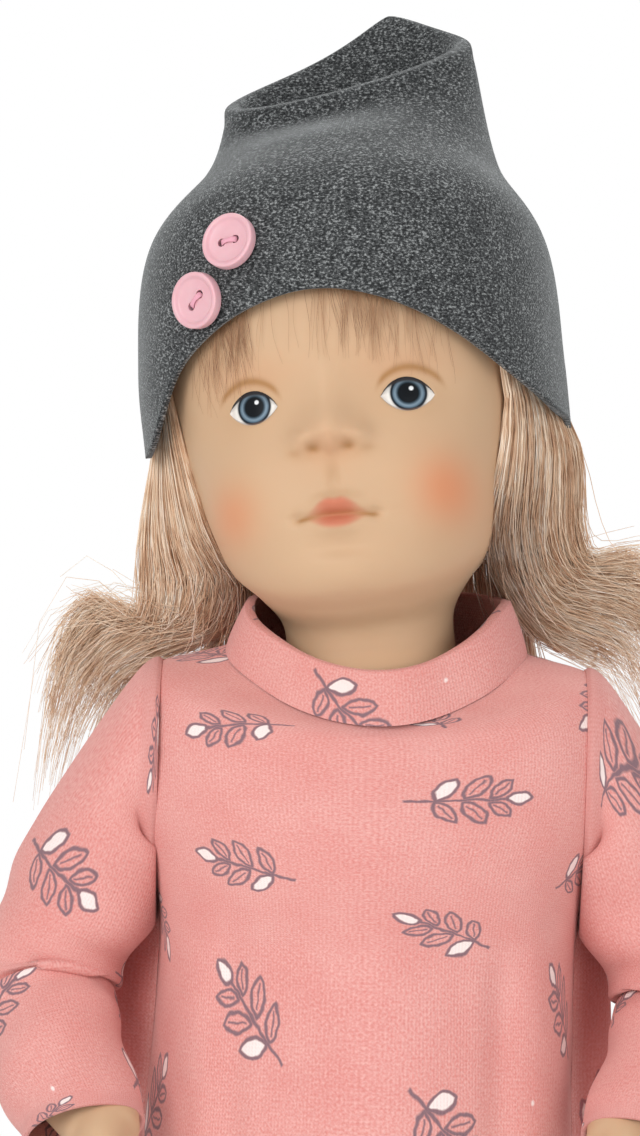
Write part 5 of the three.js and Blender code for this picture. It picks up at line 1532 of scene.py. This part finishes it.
# %% Hair material
def fibre_material(name, stops):
    """Fibre whose colour changes from strand to strand, with a painted shade that darkens it where it lies against
    the neck.
    """
    made, tree, shader = start_material(name)
    solid = solid_place(tree)
    island = node(tree, "NewGeometry").outputs["Random Per Island"]
    strand = maths(tree, "MULTIPLY_ADD", island, 0.75, noise(tree, solid, 1 / 0.006, 2.0))
    fibre = ramp(tree, maths(tree, "MULTIPLY", strand, 0.6), stops)
    axes = split(tree, solid)
    # Painted shade: up to 70 % dark brown where the hair lies near the neck, close to the middle and low down.
    depth = ranged(tree, maths(tree, "ABSOLUTE", axes[0]), 0.026, 0.04, 0.7, 0.0)
    for axis, outer, inner in ((1, 0.04, 0.028), (2, 0.392, 0.368)):
        depth = maths(tree, "MULTIPLY", depth, ranged(tree, axes[axis], outer, inner))
    feed(tree, shader, {
        "Base Color": mix(tree, depth, fibre, "#5b382a"),
        "Roughness": 0.42,
        "IOR": 1.55,
        "Specular IOR Level": 0.4,
    })
    print(name, "nodes", len(tree.nodes))
    return made


hair_fibre = fibre_material(
    "wig_fibre", [(0.15, "#a8795a"), (0.38, "#dab28f"), (0.6, "#f5dcc0"), (0.85, "#fff6ea")])
fringe_fibre = fibre_material(
    "wig_fibre_fringe", [(0.15, "#7d5438"), (0.38, "#93694a"), (0.6, "#a87d5a"), (0.85, "#bd9570")])

# %% Strands
STRAND_POINTS = 12


def make_strands(name, paths, root, tip):
    """Tapering strands along paths (strand, point, xyz), in millimetres, with a radius at root and tip."""
    curve = bpy.data.curves.new(name, "CURVE")
    curve.dimensions = "3D"
    curve.bevel_depth = 1.0
    curve.bevel_resolution = 0
    taper = np.linspace(root, tip, paths.shape[1]) * MM
    for path in (paths + STANCE) * MM:
        strand = curve.splines.new("POLY")
        strand.points.add(len(path) - 1)
        strand.points.foreach_set("co", np.column_stack([path, np.ones(len(path))]).ravel())
        strand.points.foreach_set("radius", taper)
        strand.use_smooth = True
    piece = bpy.data.objects.new(name, curve)
    bpy.context.scene.collection.objects.link(piece)
    select_only(piece)
    bpy.ops.object.convert(target="MESH")
    piece = bpy.context.object
    piece.name = name
    return piece


def lock_paths(inner, outer, away, depth, count, tufts, seed):
    """Strands over the ribbon from inner to outer; away is the way out of the lock and depth its thickness."""
    rng = np.random.default_rng(seed)
    across = rng.random(count)
    tuft = np.clip((across * tufts).astype(int), 0, tufts - 1)
    centre = (tuft + 0.5) / tufts + rng.normal(0, 0.3 / tufts, tufts)[tuft]
    lift = np.abs(rng.normal(0, 0.5, count)) + rng.normal(0, 0.25, tufts)[tuft]
    ends = rng.uniform(0.8, 1.0, count) * rng.uniform(0.86, 1.0, tufts)[tuft]
    phase = rng.uniform(0, 6.28, tufts)[tuft] + rng.normal(0, 0.5, count)
    stray = rng.normal(0, 1, (count, 3)) * np.where(rng.random(count) < 0.06, 5.0, 0.8)[:, None]
    inner, outer = (np.array(x, float)[:, None] for x in (inner, outer))
    out = for_all(unit(away), count)
    thick = for_all(np.outer(depth, np.ones(3)), count)
    paths = np.empty((count, STRAND_POINTS, 3))
    for k in range(STRAND_POINTS):
        share = ends * k / (STRAND_POINTS - 1)
        place = across + (centre - across) * 0.75 * ease(0.1, 0.9, share)
        knots = inner + (outer - inner) * place[None, :, None]
        point, way, deep = (spline(x, share) for x in (knots, out, thick))
        wave = 1.1 * np.sin(9 * share + phase) * ease(0.15, 0.7, share)
        point = point + way * (deep[:, 0] * lift + wave)[:, None]
        paths[:, k] = point + stray * ease(0.05, 1.0, share)[:, None]
    return paths


LOCKS = {
    # the inner and the outer edge of each side's ribbon, from under the hat to the tips
    1: (
        [(26.5, -20, 420), (25.8, -21.5, 412.3), (27.6, -17.5, 404), (27, -18, 394), (25.5, -18, 383.7),
         (24.2, -12, 376.5), (25.2, -6, 367.7), (28.5, 3, 360), (33.5, 10, 353), (38.5, 15, 349),
         (48.5, 20, 345.5), (57.5, 26, 339), (67, 32, 308)],
        [(36.5, 9, 414), (38.3, 11, 405.4), (41.8, 13, 397.8), (43.8, 14, 391.3), (43.8, 15, 383.6),
         (43.5, 16, 377.6), (43.8, 17, 372.2), (45.6, 19, 367.6), (49.4, 22, 365.9), (53.7, 25, 366.8),
         (59.5, 28, 368), (67, 31, 361), (74, 35, 326)],
    ),
    -1: (
        [(46.5, -9, 413), (46.1, -6, 402.1), (42.5, -7.5, 390.1), (39.0, -6, 379.2), (35.0, -3, 369.8),
         (30.5, 3, 363), (31.5, 8, 357), (34.5, 13, 350.5), (39, 17, 347.5), (47.5, 20, 344), (56, 25, 338),
         (62, 29, 330), (67, 32, 306)],
        [(47.5, 15, 404), (49.3, 18, 393.2), (50.6, 20, 382.2), (51.3, 20, 373.3), (51.3, 20, 366.2),
         (50.9, 20, 359.7), (50.6, 20, 353), (52.2, 22, 348.6), (56.7, 25, 350), (62.7, 28, 354.5),
         (68.3, 31, 350.5), (72.3, 34, 337), (75, 37, 305)],
    ),
}
AWAY = [(1, -0.3, 0)] * 5 + [
    (0.9, -0.4, 0.1), (0.8, -0.5, 0.2), (0.5, -0.6, 0.5), (0.3, -0.6, 0.7), (0.3, -0.5, 0.8), (0.5, -0.4, 0.8),
    (0.9, -0.2, 0.5), (1, 0, 0.1)]
LOCK_DEPTH = [0.8, 1.0, 1.5, 2.0, 2.5, 3.0, 3.5, 4.0, 4.0, 4.0, 4.0, 4.0, 3.0]
LOCK_TUFTS = 30
for side, name in SIDES:
    edges = [np.array(edge, float) * (side, 1, 1) for edge in LOCKS[side]]
    away = np.array(AWAY) * (side, 1, 1)
    for layer, behind, count, seed in (("under", 4.0, 1250, 23), ("over", 0.0, 1650, 24)):
        shifted = [edge + np.outer(np.linspace(0.3, 1, len(edge)), (0, behind, 0)) for edge in edges]
        paths = lock_paths(*shifted, away, LOCK_DEPTH, count, LOCK_TUFTS, seed + 10 * side)
        lock = make_strands(f"hair_{name}_{layer}", paths, 0.14, 0.05)
        finish_piece(lock, hair_fibre, "hair", None, *([f"hair_{name}"] if layer == "over" else []))
        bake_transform(lock)

# %% [markdown]
# The hair at the back hangs from under the brim to below the shoulder blades. It is a ribbon too, from one side
# of the back to the other. The fringe is a few short wisps that lie on the forehead.

# %% Back hair and fringe
BACK_ROWS = [
    # height, half width, place behind the middle, depth
    (386, 36, 54, 1), (374, 37, 53, 1), (360, 37, 52, 1.5), (346, 38, 52.5, 4), (325, 41, 53, 8),
    (304, 43, 53, 8), (288, 41, 52, 7), (276, 33, 51, 4),
]
BACK_TUFTS = 34
left_edge = np.array([(half, y, z) for z, half, y, depth in BACK_ROWS])
for layer, count, seed in (("under", 900, 21), ("over", 1250, 22)):
    paths = lock_paths(left_edge * (-1, 1, 1), left_edge, [(0, 1, 0.1)] * len(BACK_ROWS),
                       [row[3] for row in BACK_ROWS], count, BACK_TUFTS, seed)
    bow = 6 + 14 * ease(340, 368, paths[..., 2])
    paths[..., 1] -= bow * (paths[..., 0] / 38) ** 2
    paths[..., 0] += np.maximum(paths[..., 2] - NECK_SEAT[2], 0) * math.tan(HEAD_LEAN)
    lock = make_strands(f"hair_back_{layer}", paths, 0.18, 0.08)
    finish_piece(lock, hair_fibre, "hair", None, *(["hair_back"] if layer == "over" else []))
    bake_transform(lock)

FRINGE_HIDDEN = 9
rng = np.random.default_rng(31)
middles = np.concatenate([rng.normal(-21, 4.5, 110), rng.normal(11, 7, 140), rng.normal(-4, 14, 15)])
count = len(middles)
lengths = rng.uniform(3, 13, count)
sway = rng.normal(0, 1.4, count)
roots = brim_rise(-41) + FRINGE_HIDDEN + 0.02 * middles - 0.012 * middles**2
fringe = np.empty((count, STRAND_POINTS, 3))
for k in range(STRAND_POINTS):
    share = k / (STRAND_POINTS - 1)
    x = middles + sway * share + 0.5 * np.sin(6 * share + middles)
    z = roots - (lengths + FRINGE_HIDDEN) * share
    y = head_front(x, z) - face_relief(x, z) - 0.35 - 0.5 * np.sin(np.pi * share)
    fringe[:, k] = xyz(x, y, z)
piece = make_strands("hair_fringe_wisps", from_head(fringe), 0.06, 0.015)
finish_piece(piece, fringe_fibre, "hair", "head", "hair_fringe")
